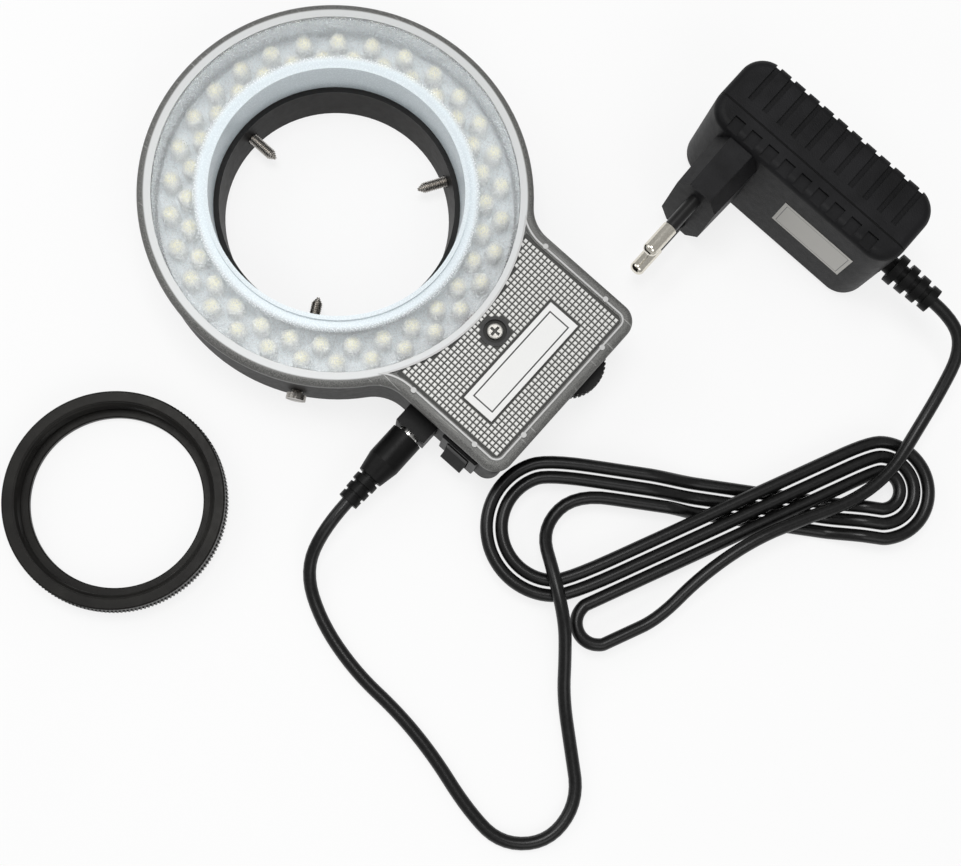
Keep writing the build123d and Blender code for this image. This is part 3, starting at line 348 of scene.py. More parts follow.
# %% Field
class Field:
    """One output of a node, to write formulas with."""

    def __init__(self, graph, socket):
        self.graph = graph
        self.socket = socket

    def math(self, operation, first, second=0.0):
        return self.graph.node("ShaderNodeMath", (first, second), operation=operation)

    def __add__(self, other):
        return self.math("ADD", self, other)

    def __radd__(self, other):
        return self.math("ADD", other, self)

    def __sub__(self, other):
        return self.math("SUBTRACT", self, other)

    def __rsub__(self, other):
        return self.math("SUBTRACT", other, self)

    def __mul__(self, other):
        return self.math("MULTIPLY", self, other)

    def __rmul__(self, other):
        return self.math("MULTIPLY", other, self)

    def __pow__(self, other):
        return self.math("POWER", self, other)

    def __abs__(self):
        return self.math("ABSOLUTE", self)

    def larger(self, other):
        """The larger of two fields, which also joins two masks."""
        return self.math("MAXIMUM", self, other)

    def ramp(self, low, high, out_low=0.0, out_high=1.0):
        """A smooth change from out_low to out_high while the field goes from low to high."""
        inputs = {0: self, 1: low, 2: high, 3: out_low, 4: out_high}
        return self.graph.node("ShaderNodeMapRange", inputs, interpolation_type="SMOOTHSTEP")

    def step(self, edge, blend):
        """0 below the edge and 1 above it, with a smooth change between, as wide as the blend."""
        return self.ramp(edge - blend / 2, edge + blend / 2)


def hypotenuse(across, along):
    """The distance of a point from an axis, by Pythagoras."""
    return (across * across + along * along) ** 0.5


# %% [markdown]
# `Graph` holds one material. Its `node` method adds any node, and `put` connects a field or sets a
# constant. The other methods are the few patterns that the finishes below need. They all read object
# coordinates, so a pattern sits still on its piece and needs no unwrapping.

# %% Graph
class Graph:
    """One material and its node tree."""

    def __init__(self, name):
        self.material = bpy.data.materials.new(name)
        self.material.use_nodes = True
        self.tree = self.material.node_tree
        self.tree.nodes.clear()

    def put(self, socket, value):
        """Connects a field to a socket, or sets the socket to a constant."""
        if isinstance(value, Field):
            self.tree.links.new(value.socket, socket)
        elif isinstance(value, tuple) and socket.type == "RGBA":
            socket.default_value = (*value[:3], 1.0)
        else:
            socket.default_value = value

    def node(self, kind, inputs=(), out=0, **settings):
        """Adds a node with its settings, fills its sockets and returns one output as a field."""
        made = self.tree.nodes.new(kind)
        for name, value in settings.items():
            setattr(made, name, value)
        for key, value in inputs.items() if isinstance(inputs, dict) else enumerate(inputs):
            self.put(made.inputs[key], value)
        return Field(self, made.outputs[out]) if made.outputs else made

    def place(self):
        """Object coordinates, which are metres in the model's own frame."""
        return self.node("ShaderNodeTexCoord", out="Object")

    def axes(self):
        """The three object coordinates in millimetres, as three fields."""
        split = self.node("ShaderNodeSeparateXYZ", (self.place(),))
        parts = split.socket.node.outputs
        return tuple(Field(self, parts[i]) * 1000.0 for i in range(3))

    def attribute(self, name):
        """A number that the mesh carries at each point."""
        return self.node("ShaderNodeAttribute", out="Fac", attribute_name=name)

    def noise(self, per_mm, detail=3.0, stretch=(1, 1, 1)):
        """Cloudy noise of this many bumps in a millimetre, from 0 to 1."""
        scale = tuple(1000.0 * per_mm * s for s in stretch)
        where = self.node("ShaderNodeVectorMath", (self.place(), scale), operation="MULTIPLY")
        return self.node("ShaderNodeTexNoise", {"Vector": where, "Scale": 1.0, "Detail": detail})

    def cells(self, per_mm):
        """The distance to the nearest of many scattered points, from 0 up."""
        inputs = {"Vector": self.place(), "Scale": 1000.0 * per_mm}
        return self.node("ShaderNodeTexVoronoi", inputs, out="Distance")

    def tint(self, first, second, factor):
        """A colour between two colours."""
        return self.node("ShaderNodeMix", {0: factor, 6: first, 7: second}, out=2, data_type="RGBA")

    def bump(self, height, depth_mm):
        """A normal tilted by the slope of the height field, which goes from 0 to 1."""
        return self.node("ShaderNodeBump", {"Height": height, "Distance": depth_mm * MM})

    def surface(self, **inputs):
        """Ends the graph in one Principled surface and returns the material."""
        titles = {name: name.replace("_", " ").title().replace("Ior", "IOR") for name in inputs}
        named = {titles[name]: value for name, value in inputs.items()}
        return self.output(self.node("ShaderNodeBsdfPrincipled", named))

    def output(self, shader):
        """Ends the graph and returns the material."""
        self.node("ShaderNodeOutputMaterial", {"Surface": shader})
        print(f"{self.material.name}: {len(self.tree.nodes)} nodes")
        return self.material


# %% [markdown]
# ## The finishes
#
# Most pieces are moulded plastic, rubber or plain metal, and share one recipe. Slow clouds shift the
# colour a little. The same kind of noise, somewhat finer, shifts the gloss, as handling does. Fine
# noise raises a grain that catches the light. `finishes` collects the materials by the name of the
# slot that the CAD record gives each solid.

# %% The recipe
finishes = {}
clouds_per_mm = 0.15
handling_per_mm = 0.6
handling_gloss = 0.18


def grey(level):
    """A colour without a hue."""
    return (level, level, level)


def clouded(g, dark, light, grain):
    """A colour between two, by slow clouds with some of the grain in them."""
    mottle = g.noise(clouds_per_mm, detail=4.0) * 0.7 + grain * 0.3
    return g.tint(dark, light, mottle.ramp(0.3, 0.7))


def handled(g, rough):
    """A roughness that handling has shifted up and down a little."""
    return rough + (g.noise(handling_per_mm, detail=5.0) - 0.5) * handling_gloss


def worked(name, dark, light, rough, grain_per_mm=6.0, grain_mm=0.01, metallic=0.0, spec=0.5):
    """A finish with mottled colour, uneven gloss and a fine grain."""
    g = Graph(name)
    grain = g.noise(grain_per_mm, detail=2.0)
    finishes[name] = g.surface(
        base_color=clouded(g, dark, light, grain),
        roughness=handled(g, rough),
        metallic=metallic,
        specular_ior_level=spec,
        normal=g.bump(grain, grain_mm),
    )


# %% [markdown]
# The blacks of the lamp differ in gloss more than in colour: the ledge in the bore is matt, the plug
# is soft rubber, and the sleeves of the pins shine a little. A low specular level keeps the white
# room from greying them. The loose ring is anodised aluminium, so it is a little metallic.

# %% Black pieces
worked("ledge_black", grey(0.004), grey(0.01), 0.55, spec=0.2)
worked("jack_black", grey(0.005), grey(0.01), 0.46, grain_mm=0.008, spec=0.12)
worked("plug_black", grey(0.003), grey(0.008), 0.42, grain_mm=0.012, spec=0.12)
worked("switch_black", grey(0.003), grey(0.008), 0.42, grain_per_mm=3.0, grain_mm=0.004, spec=0.12)
worked("wheel_black", grey(0.004), grey(0.011), 0.5, spec=0.25)
worked("sleeve_black", grey(0.004), grey(0.01), 0.36, spec=0.35)
worked("ring_anodised", (0.007, 0.0065, 0.006), (0.014, 0.0135, 0.012), 0.4, 5.0, 0.01, 0.3, spec=0.14)
finishes["paddle_black"] = finishes["switch_black"]

# %% [markdown]
# Inside the handle and the adapter are circuit boards with their components. The lamps stand on a
# white board, which sends their light forward.

# %% Boards and components
worked("board_white", (0.8, 0.85, 0.87), (0.87, 0.91, 0.93), 0.5, grain_per_mm=3.0)
worked("board_green", (0.01, 0.11, 0.04), (0.03, 0.2, 0.08), 0.35, grain_per_mm=2.0, grain_mm=0.02)
worked("component_black", grey(0.02), grey(0.05), 0.5)
worked("lead_red", (0.1, 0.02, 0.02), (0.17, 0.035, 0.03), 0.4)
worked("transformer_tape", (0.5, 0.36, 0.03), (0.72, 0.55, 0.08), 0.4)
worked("capacitor_sleeve", (0.01, 0.015, 0.08), (0.03, 0.04, 0.16), 0.3)

# %% [markdown]
# The metals that no one polishes: brass contacts, the dimmer's can and the captive nuts.

# %% Dull metals
for name, dark, light, rough in (
    ("contact_brass", (0.55, 0.4, 0.16), (0.75, 0.58, 0.28), 0.3),
    ("pot_metal", (0.5, 0.5, 0.52), (0.68, 0.68, 0.7), 0.32),
    ("nut_steel", grey(0.4), grey(0.6), 0.32),
):
    worked(name, dark, light, rough, grain_per_mm=4.0, grain_mm=0.005, metallic=1.0)

# %% [markdown]
# The housing is black lacquer outside and in the bore. The trough that holds the lamps is bare, dull
# aluminium, which throws their light back up. Two materials would need the solid cut in two, so one
# material tells the places apart. A point lies in the trough by its distance from the bore's axis
# and its height: the product of three steps is 1 there and 0 elsewhere. The first two edges lie
# within the walls on either side.

# %% Housing
trough_inner = 32.0
trough_outer = 48.6
trough_low = 4.2
g = Graph("housing_grey")
x, y, height = g.axes()
from_bore = hypotenuse(x, y)
trough = from_bore.step(trough_inner, 0.2) * (1.0 - from_bore.step(trough_outer, 0.2))
trough = trough * height.step(trough_low, 0.4)
grain = g.noise(5.0, detail=2.0)
lacquer = clouded(g, (0.006, 0.0054, 0.005), (0.014, 0.0126, 0.0115), grain)
finishes["housing_grey"] = g.surface(
    base_color=g.tint(lacquer, (0.84, 0.88, 0.9), trough),
    roughness=handled(g, 0.5),
    specular_ior_level=0.12,
    normal=g.bump(grain, 0.012),
)

# %% [markdown]
# The cover is silver lacquer. Its scratches are wear, while the lighter and darker places that follow
# its shape are painted light and shade. Masks find the places:
#
# - `panel` is 1 on the sunk panel of the handle, a rectangle.
# - `depth` is 1 at the panel's floor and fades out up the sides of the dots; it paints shade there.
# - `dots` is 1 on the dots themselves, which lie below the plate's top; it paints a highlight on them.
# - `raised` is 1 on the line and the nubs that stand above the plate; it paints a highlight on them.
# - `bezel` is 1 on the narrow ring beside the window and paints a highlight on it, and `top` keeps it
# off the plate's sides, so that only the ring's top face is painted light.
# - `collar` is 1 on the dark collar round the screw.

# %% Masks on the cover
screw_x = 53.2
collar_radius = 3.8
bezel_radius = 48.25
panel_start, panel_end, panel_side = 42.15, 75.75, 24.65
# The panel's floor is painted dark as shade, which fades out between these two heights.
painted_shade_low, painted_shade_high = 24.42, 24.6
plate_side, plate_sunk, plate_raised = 24.5, 24.93, 25.1
g = Graph("cover_silver")
x, y, height = g.axes()
panel = x.step(panel_start, 0.3) * (1.0 - x.step(panel_end, 0.3)) * (1.0 - abs(y).step(panel_side, 0.3))
depth = height.ramp(painted_shade_low, painted_shade_high, 1.0, 0.0) * panel
dots = (1.0 - depth) * (1.0 - height.step(plate_sunk, 0.06)) * panel
raised = height.step(plate_raised, 0.12)
bezel = 1.0 - hypotenuse(x, y).step(bezel_radius, 0.5)
top = height.step(plate_side, 0.4)
collar = 1.0 - hypotenuse(x - screw_x, y).step(collar_radius, 0.2)
print(f"masks on the cover: {len(g.tree.nodes)} nodes")

# %% [markdown]
# The lacquer's flakes are many small clouds, each a little lighter or darker. A scratch is noise
# stretched far along one axis and cut to its thin peaks. Each row of the table is a colour and the
# mask that lays it over the rows before: scratches, dots, bezel, raised line and nubs, collar, and
# the painted shade of the panel's floor. The dots, the bezel's top face and the raised line and nubs
# are painted highlights.

# %% Cover
flake = g.noise(5.0, detail=1.0)
scratch = g.noise(0.5, detail=2.0, stretch=(0.12, 4.0, 1.0)).ramp(0.68, 0.72)
silver = g.tint((0.07, 0.07, 0.067), (0.2, 0.2, 0.192), flake.ramp(0.3, 0.7))
for colour, mask in (
    ((0.5, 0.5, 0.49), scratch * 0.5),
    # painted highlight: the dots are painted lighter than the plate
    ((0.62, 0.62, 0.6), dots),
    # painted highlight on the bezel's top face; the plate's sides stay darker
    ((0.56, 0.57, 0.57), bezel * top),
    # painted highlight on the raised line and nubs
    ((0.46, 0.46, 0.455), raised),
    (grey(0.03), collar),
    # painted shade on the panel's floor between the dots
    ((0.05, 0.05, 0.047), depth * 0.8),
):
    silver = g.tint(silver, colour, mask)
finishes["cover_silver"] = g.surface(
    base_color=silver,
    metallic=0.2,
    roughness=0.4 + flake * 0.12 + depth * 0.2,
    specular_ior_level=0.25,
    normal=g.bump(flake * 0.6 + g.noise(0.8, detail=4.0) * 0.4, 0.012),
)

# %% [markdown]
# The window is frosted plastic. Light that passes it is scattered a little, so the lamps under it
# blur. A rough glass does that, and a white haze is mixed in, because the frosting also sends light
# back. The skirt that lines the bore is frosted on both faces, so its haze is much thicker, and the
# haze grows a little at the outer edge.

# %% Window
skirt_edge = 35.6
window_edge = 44.5
frost_mm = 0.01
g = Graph("window_frosted")
x, y = g.axes()[:2]
from_bore = hypotenuse(x, y)
skirt = 1.0 - from_bore.step(skirt_edge, 2.0)
edge = from_bore.step(window_edge, 2.0)
frost = g.noise(2.5, detail=4.0)
clear = g.node(
    "ShaderNodeBsdfPrincipled",
    {
        "Base Color": (0.98, 0.995, 1.0),
        "Roughness": 0.23 + frost * 0.08,
        "IOR": 1.18,
        "Transmission Weight": 1.0,
        "Alpha": 0.52,
        "Normal": g.bump(frost, frost_mm),
    },
)
haze_colour = g.tint((0.92, 0.96, 0.98), (0.97, 0.99, 1.0), frost)
haze = g.node(
    "ShaderNodeBsdfPrincipled",
    {
        "Base Color": g.tint(haze_colour, (0.8, 0.88, 0.92), skirt),
        "Roughness": 0.35,
        "Normal": g.bump(frost, frost_mm),
    },
)
haze_share = 0.07 + g.noise(0.08, detail=3.0) * 0.08 + skirt * 0.7 + edge * 0.06
finishes["window_frosted"] = g.output(g.node("ShaderNodeMixShader", (haze_share, clear, haze)))

# %% [markdown]
# The lamps are epoxy domes over a yellow phosphor. A point attribute, `core`, holds how far each
# point is from its own lamp's axis: 0 on it, 1 at the wall. The dome is cream near the axis and
# white outside.

# %% Lamps
g = Graph("lamp_clear")
core = g.attribute("core")
whiteness = (core + g.noise(1.2) * 0.2).ramp(0.45, 1.05)
finishes["lamp_clear"] = g.surface(
    base_color=g.tint((0.99, 0.95, 0.74), (0.98, 0.985, 0.97), whiteness),
    roughness=0.12 + g.noise(2.0) * 0.1,
    specular_ior_level=0.5,
    normal=g.bump(g.noise(0.8), 0.02),
)

# %% [markdown]
# The bright metals are the plated clamp screws, the plug's barrel and the mains pins. Their marks
# are noise. On the barrel and the pins it is stretched along Y, the way that a socket rubs them.

# %% Bright metals
def polished(name, dark, light, rough, rub=(1, 1, 1)):
    """A bright metal with fine rub marks."""
    g = Graph(name)
    marks = g.noise(3.0, detail=4.0, stretch=rub)
    finishes[name] = g.surface(
        base_color=g.tint(dark, light, marks.ramp(0.3, 0.7)),
        metallic=1.0,
        roughness=rough + (marks - 0.5) * 0.16,
        normal=g.bump(marks, 0.004),
    )


along_y = (4, 0.5, 4)
polished("screw_steel", (0.28, 0.26, 0.24), (0.5, 0.48, 0.45), 0.3)
polished("barrel_chrome", (0.6, 0.59, 0.57), (0.8, 0.79, 0.77), 0.16, along_y)
polished("pin_nickel", (0.62, 0.58, 0.5), (0.85, 0.82, 0.74), 0.14, along_y)

# %% [markdown]
# The cover screw has a worn nickel plate. Its cross recess and the edge round its rim are painted
# dark, as painted shade: the first by height, the second by the distance from the screw's own axis.

# %% Cover screw
screw_rim = 1.7
cross_floor = 24.65
g = Graph("cover_screw_steel")
x, y, height = g.axes()
marks = g.noise(3.0, detail=4.0)
plate = g.tint((0.26, 0.25, 0.23), (0.5, 0.49, 0.46), marks.ramp(0.3, 0.7))
# Painted shade: the head is darkened round its rim and in its cross recess.
painted_rim_shade = hypotenuse(x - screw_x, y).step(screw_rim, 0.4) * 0.8
painted_rim_and_recess_shade = painted_rim_shade.larger(1.0 - height.step(cross_floor, 0.3))
finishes["cover_screw_steel"] = g.surface(
    base_color=g.tint(plate, (0.03, 0.03, 0.027), painted_rim_and_recess_shade),
    metallic=0.6,
    roughness=0.38 + (marks - 0.5) * 0.16,
    normal=g.bump(marks, 0.004),
)

# %% [markdown]
# The sticker on the handle is white paper with one thin black frame, and the adapter's label is
# silvery paper with a fainter one. A frame could be thin solids, but a printed line has no height. It
# is where the distance to the edge of a rectangle is nearly zero. For a rectangle with half sizes a
# and b, that distance is max(|x| - a, |y| - b). The label stands upright, so it lies in X and Z.

# %% Sticker and label
def framed(name, plane, centre, half, line, paper, ink, metallic, rough):
    """Paper with one thin frame. The plane names the two axes that its face lies along."""
    g = Graph(name)
    axes = dict(zip("xyz", g.axes()))
    from_sides = [abs(axes[axis] - middle) - size for axis, middle, size in zip(plane, centre, half)]
    frame_line = 1.0 - abs(from_sides[0].larger(from_sides[1])).step(line / 2, line * 0.3)
    fibre = g.noise(3.0, detail=4.0)
    shade = g.tint(tuple(0.93 * c for c in paper), paper, fibre)
    finishes[name] = g.surface(
        base_color=g.tint(shade, ink, frame_line),
        metallic=metallic,
        roughness=rough + fibre * 0.15,
        normal=g.bump(fibre, 0.006),
    )


sticker_centre = (63.2, -1.4)
label_centre = (97.6, 19.9)
framed("sticker_white", "xy", sticker_centre, (3.05, 14.5), 0.36, (0.8, 0.8, 0.79), grey(0.01), 0.0, 0.45)
framed("label_silver", "xz", label_centre, (10.4, 5.6), 0.2, (0.5, 0.49, 0.46), grey(0.14), 0.1, 0.4)

# %% [markdown]
# The adapter's shell has a spark-eroded grain: rounded cells about 0.4 mm wide. A thin dark seam
# runs round it where its two shells meet, on a plane across Y. The seam is also pressed in, several
# times as deep as the grain is high.

# %% Adapter
seam_y = 82.5
seam_half = 0.19
seam_deep = 6.0
g = Graph("adapter_black")
grain = g.cells(2.6).ramp(0.0, 0.6) * 0.7 + g.noise(5.0) * 0.3
seam = 1.0 - abs(g.axes()[1] - seam_y).step(seam_half, 0.18)
shade = g.noise(0.12, detail=5.0).ramp(0.3, 0.7)
shell = g.tint((0.003, 0.003, 0.0035), (0.009, 0.009, 0.01), shade)
finishes["adapter_black"] = g.surface(
    base_color=g.tint(shell, grey(0.0), seam),
    roughness=0.45 + g.noise(0.5, detail=5.0) * 0.16,
    specular_ior_level=0.18,
    normal=g.bump(grain * (1.0 - seam) - seam * seam_deep, 0.035),
)

# %% [markdown]
# The lead is satin rubber. It is the glossiest black here, and faint ripples break up its highlight.

# %% Lead
g = Graph("cord_black")
ripple = g.noise(1.2, detail=3.0) * 0.6 + g.noise(6.0) * 0.4
finishes["cord_black"] = g.surface(
    base_color=g.tint(grey(0.002), grey(0.008), ripple.ramp(0.3, 0.7)),
    roughness=0.24 + g.noise(0.3, detail=4.0) * 0.14,
    specular_ior_level=0.3,
    normal=g.bump(ripple, 0.02),
)
lead_data.materials.append(finishes["cord_black"])

# %% [markdown]
# Now each CAD solid gets its material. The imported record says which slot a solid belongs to, so the
# two meet by name.

# %% Dress the solids
entries = frame["record"]["subparts"]
for entry in entries:
    mesh = nodes[entry["node"]].data
    if not mesh.materials:
        mesh.materials.append(None)
    for index in range(len(mesh.materials)):
        mesh.materials[index] = finishes[entry["material_slot"]]
print(f"{len(entries)} solids dressed in {len(finishes)} finishes")

# %% [markdown]
# ## Fine shapes from grids of points
#
# A turned or threaded surface is a grid: rows go along it and columns go round it. `grid_faces`
# numbers the four corners of every cell. The columns always close on themselves, and the rows do
# where the piece is a ring. With the rows going up and the columns anticlockwise, the faces point
# outwards.

# %% Grids
def full_turn(count):
    """Even angles round a circle."""
    return np.linspace(0, 2 * math.pi, count, endpoint=False)


def grid_faces(rows, columns, wrap_rows=False):
    """The quads of a grid of points, as rows of four point numbers."""
    row = np.arange(rows if wrap_rows else rows - 1)[:, None]
    column = np.arange(columns)[None, :]
    next_row, next_column = (row + 1) % rows, (column + 1) % columns
    corners = (
        row * columns + column,
        row * columns + next_column,
        next_row * columns + next_column,
        next_row * columns + column,
    )
    return np.stack(np.broadcast_arrays(*corners), axis=-1).reshape(-1, 4)


def end_faces(rows, columns):
    """The two polygons that close a tube: the first row backwards and the last row forwards."""
    return np.array((np.arange(columns)[::-1], np.arange(columns) + (rows - 1) * columns))


# %% [markdown]
# `make_piece` turns points and faces into an object. The place is in the mesh, so the object itself
# stays at the origin, as a CAD solid's does, and patterns on object coordinates fit both. The piece
# moves with one body, has a slot, and may stand for the CAD solids that it shows in more detail.

# %% Pieces
def make_piece(name, points_mm, faces, body, slot, smooth=True, stands_for=()):
    """A mesh from points in millimetres, which moves with one CAD body."""
    mesh = bpy.data.meshes.new(name)
    mesh.from_pydata((np.asarray(points_mm) * MM).tolist(), [], [list(map(int, f)) for f in faces])
    mesh.polygons.foreach_set("use_smooth", np.full(len(mesh.polygons), smooth))
    mesh.materials.append(finishes[slot])
    mesh.update()
    piece = bpy.data.objects.new(name, mesh)
    scene.collection.objects.link(piece)
    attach(piece, body)
    if stands_for:
        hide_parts(*stands_for)
    print(f"{name}: {len(mesh.vertices)} points, {len(mesh.polygons)} faces")
    return piece


# %% [markdown]
# ### The lamps
#
# One lamp is a profile turned about its own axis: a low flange, a straight wall and half a sphere.
# We work it out once.

# %% One lamp
lamp_sides = 20
lamp_base = 12.6
lamp_radius = 2.4
lamp_wall = 4.45
flange_radius = lamp_radius * 1.02
flange_top = 0.7
pole_radius = 0.02
dome = np.radians(np.linspace(0, 90, 9))
dome_profile = np.column_stack((lamp_radius * np.cos(dome), lamp_wall + lamp_radius * np.sin(dome)))
dome_profile[-1, 0] = pole_radius
flange_profile = [(flange_radius, 0.0), (flange_radius, flange_top), (lamp_radius, flange_top + 0.05)]
lamp_profile = np.vstack((flange_profile, dome_profile))
around = full_turn(lamp_sides)
one_lamp = np.stack(
    (
        lamp_profile[:, :1] * np.cos(around),
        lamp_profile[:, :1] * np.sin(around),
        np.repeat(lamp_profile[:, 1:], lamp_sides, axis=1),
    ),
    axis=-1,
).reshape(-1, 3)
one_core = np.repeat(lamp_profile[:, 0] / lamp_radius, lamp_sides)
lamp_faces = grid_faces(len(lamp_profile), lamp_sides)
lamp_ends = end_faces(len(lamp_profile), lamp_sides)
print(f"one lamp: {len(one_lamp)} points, {one_lamp[:, 2].max():.2f} mm tall")

# %% [markdown]
# There are two rows of thirty, and the inner row is turned half a step, so that its lamps look out
# between the others. Each place is added to every point of the one lamp, and the face numbers move
# up by as many points.

# %% Rows of lamps
lamp_count = 30
for name, row_radius, first in (("outer", 42.4, 0.0), ("inner", 38.0, 6.0)):
    turn = np.radians(first + np.arange(lamp_count) * 360 / lamp_count)
    heights = np.full(lamp_count, lamp_base)
    places = np.column_stack((row_radius * np.cos(turn), row_radius * np.sin(turn), heights))
    points = (places[:, None, :] + one_lamp[None]).reshape(-1, 3)
    shift = np.arange(lamp_count)[:, None, None] * len(one_lamp)
    faces = (lamp_faces[None] + shift).reshape(-1, 4).tolist()
    faces += (lamp_ends[None] + shift).reshape(-1, lamp_sides).tolist()
    piece = make_piece(
        f"lamps_{name}_look", points, faces, "lamp", "lamp_clear", stands_for=[f"lamps_{name}"]
    )
    attribute = piece.data.attributes.new("core", "FLOAT", "POINT")
    attribute.data.foreach_set("value", np.tile(one_core, lamp_count))

# %% [markdown]
# ### The clamp screws
#
# Three slotted screws close on the microscope's housing. A thread is a ridge that climbs one pitch
# in each turn, so its height depends on the distance along the screw, divided by the pitch, minus
# the angle in turns. The fraction of that number makes a triangle wave. The thread starts at the
# cone of the tip and ends under the head.

# %% Sizes of a clamp screw
thread_pitch = 0.5
thread_depth = 0.3
thread_steps = 8
shank_radius = 1.5
shank_sides = 24
tip_cone = 1.6
tip_flat = 0.4
head_radius = 2.6
head_seat = 49.6
head_face = 51.1
head_sides = 36
slot_half = 0.3
slot_depth = 0.7
screw_height = 5.6
print(f"thread {2 * shank_radius:.1f} mm across, head {head_face - head_seat:.1f} mm thick")


# %% [markdown]
# The wave is a function of its own, because the mount ring has a thread too. The shank could be a
# helix swept along the rod, but a tube of rings whose radius follows the wave stays one closed
# surface.

# %% Thread
def climbing_ridge(along, turn, pitch_mm):
    """A triangle wave from 0 to 1, one for each pitch along the axis, a pitch further in each turn."""
    phase = (along / pitch_mm - turn / (2 * math.pi)) % 1.0
    return 1.0 - np.abs(2.0 * phase - 1.0)


def threaded_shank(tip):
    """A tube of rings from the tip to the head, whose radius is the cone's or the shank's, less the
    thread's depth where the ridge is low."""
    stations = np.append(np.arange(tip, head_seat, thread_pitch / thread_steps), head_seat)
    turn = full_turn(shank_sides)
    cone = tip_flat + (stations - tip) * (shank_radius - tip_flat) / tip_cone
    crest = np.minimum(shank_radius, cone)[:, None]
    groove = thread_depth * (1.0 - climbing_ridge(stations[:, None], turn[None], thread_pitch))
    radius = np.maximum(crest - groove, tip_flat * 0.9)
    out = np.repeat(stations[:, None], shank_sides, axis=1)
    points = np.stack((out, radius * np.cos(turn), radius * np.sin(turn)), axis=-1).reshape(-1, 3)
    faces = grid_faces(len(stations), shank_sides).tolist()
    return points, faces + end_faces(len(stations), shank_sides).tolist()


# %% [markdown]
# The head is a disc with two half moons on it, and the gap between the moons is the slot. Each is a
# prism: a flat outline, carried along the screw and closed at both ends.

# %% Head
def circle(radius, turn):
    """Points at these angles on a circle."""
    return radius * np.column_stack((np.cos(turn), np.sin(turn)))


def half_moon(first):
    """The outline of one half of the slotted head: an arc closed by the slot's edge."""
    start = math.asin(slot_half / head_radius)
    return circle(head_radius, first + np.linspace(start, math.pi - start, 18))


def prism(outline, low, high):
    """An outline across the screw, carried from low to high along it."""
    size = len(outline)
    points = np.vstack([np.column_stack((np.full(size, level), outline)) for level in (low, high)])
    return points, grid_faces(2, size).tolist() + end_faces(2, size).tolist()


slot_floor = head_face - slot_depth
head_solids = (
    prism(circle(head_radius, full_turn(head_sides)), head_seat, slot_floor),
    prism(half_moon(0.0), slot_floor, head_face),
    prism(half_moon(math.pi), slot_floor, head_face),
)
print(f"head: {sum(len(points) for points, faces in head_solids)} points in {len(head_solids)} solids")


# %% [markdown]
# The screws point at the bore's axis from three sides and reach in by different amounts, as in the
# photograph. Each is worked out along a line and then turned to its own angle.

# %% Screws in place
def along_radius(angle, out, side, up):
    """Points given along a radius, across it and upwards, turned into the model's frame."""
    c, s = math.cos(math.radians(angle)), math.sin(math.radians(angle))
    return np.stack((out * c - side * s, out * s + side * c, up + screw_height), axis=-1)


def join(solids):
    """Several solids as one: the face numbers of each move up by the points before it."""
    joined_faces = []
    count = 0
    for points, faces in solids:
        joined_faces += [[count + i for i in face] for face in faces]
        count += len(points)
    return np.vstack([points for points, faces in solids]), joined_faces


for letter, node, angle, tip in (
    ("a", "clamp_screw_1", 180.0, 22.0),
    ("b", "clamp_screw_2", 60.0, 22.2),
    ("c", "clamp_screw_3", -60.0, 23.3),
):
    points, faces = join((threaded_shank(tip), *head_solids))
    placed = along_radius(angle, *points.T)
    make_piece(f"{node}_look", placed, faces, f"clamp_{letter}", "screw_steel", False, [node])

# %% [markdown]
# ### The mount ring
#
# The loose ring screws onto a microscope and the lamp clamps round it. It is turned from one closed
# outline. Each row of the outline is a radius, a height and a kind. Where it runs up the lower rim,
# a wave round the ring makes the knurl. Where it runs down the inside, the same climbing wave as on
# the screws makes the fine thread.

# %% Outline of the mount ring
ring_pitch = 0.75
lip_radius = 21.9
thread_radius = 24.3
body_radius = 27.8
rim_radius = 28.2
ring_top = 8.0
ledge_top = 2.2
plain, knurled, threaded = 0, 1, 2
underside = [(lip_radius + 0.2, 0.0, plain), (body_radius, 0.0, plain)]
lower_rim = [(rim_radius, z, knurled) for z in np.linspace(0.35, 3.9, 6)]
outside = [(body_radius, 4.3, plain), (body_radius, 7.6, plain), (body_radius - 0.15, 7.85, plain)]
top_face = [(body_radius - 0.4, ring_top, plain), (25.2, ring_top, plain)]
lead_in_bevel = [(24.85, 7.9, plain), (24.7, 7.5, plain)]
inside = [(thread_radius, z, threaded) for z in np.arange(7.2, 2.4, -ring_pitch / 6)]
inner_ledge = [(thread_radius, ledge_top, plain), (lip_radius + 0.3, ledge_top, plain)]
lip = [(lip_radius, ledge_top - 0.3, plain), (lip_radius, 0.3, plain)]
outline = np.array(underside + lower_rim + outside + top_face + lead_in_bevel + inside + inner_ledge + lip)
print(f"mount ring: {len(outline)} points in its outline, {ring_top:.0f} mm tall")

# %% [markdown]
# The outline goes round in six columns for each tooth of the knurl. `tooth` is a cosine cut flat at
# both ends, from 0 on a tooth to -1 between two.

# %% Mount ring
ring_x = 9.4
ring_y = -93.9
knurl_teeth = 178
knurl_depth = 0.35
ring_thread = 0.32
columns = knurl_teeth * 6
turn = full_turn(columns)
radii, levels, kinds = outline[:, :1], outline[:, 1:2], outline[:, 2:]
tooth = np.clip(np.cos(turn * knurl_teeth) * 1.6, -1, 1) * 0.5 - 0.5
knurl = (kinds == knurled) * tooth[None] * knurl_depth
ridges = (kinds == threaded) * climbing_ridge(levels, turn[None], ring_pitch) * ring_thread
radius = radii + knurl - ridges
points = np.stack(
    (
        ring_x + radius * np.cos(turn),
        ring_y + radius * np.sin(turn),
        np.repeat(levels, columns, axis=1),
    ),
    axis=-1,
).reshape(-1, 3)
faces = grid_faces(len(outline), columns, wrap_rows=True)
make_piece("mount_ring_look", points, faces, "loose_ring", "ring_anodised", False, ["mount_ring"])

# %% [markdown]
# ### The dotted panel
#
# The sunk panel of the handle carries rows of small blunt pyramids. A bump in the material would
# give them no sides and no shadow, so they are real shapes. We put one on every point of a square grid,
# and keep those that lie inside the panel: away from the neck's arc, the sides and their rounded
# corners, the screw's collar and the sticker.

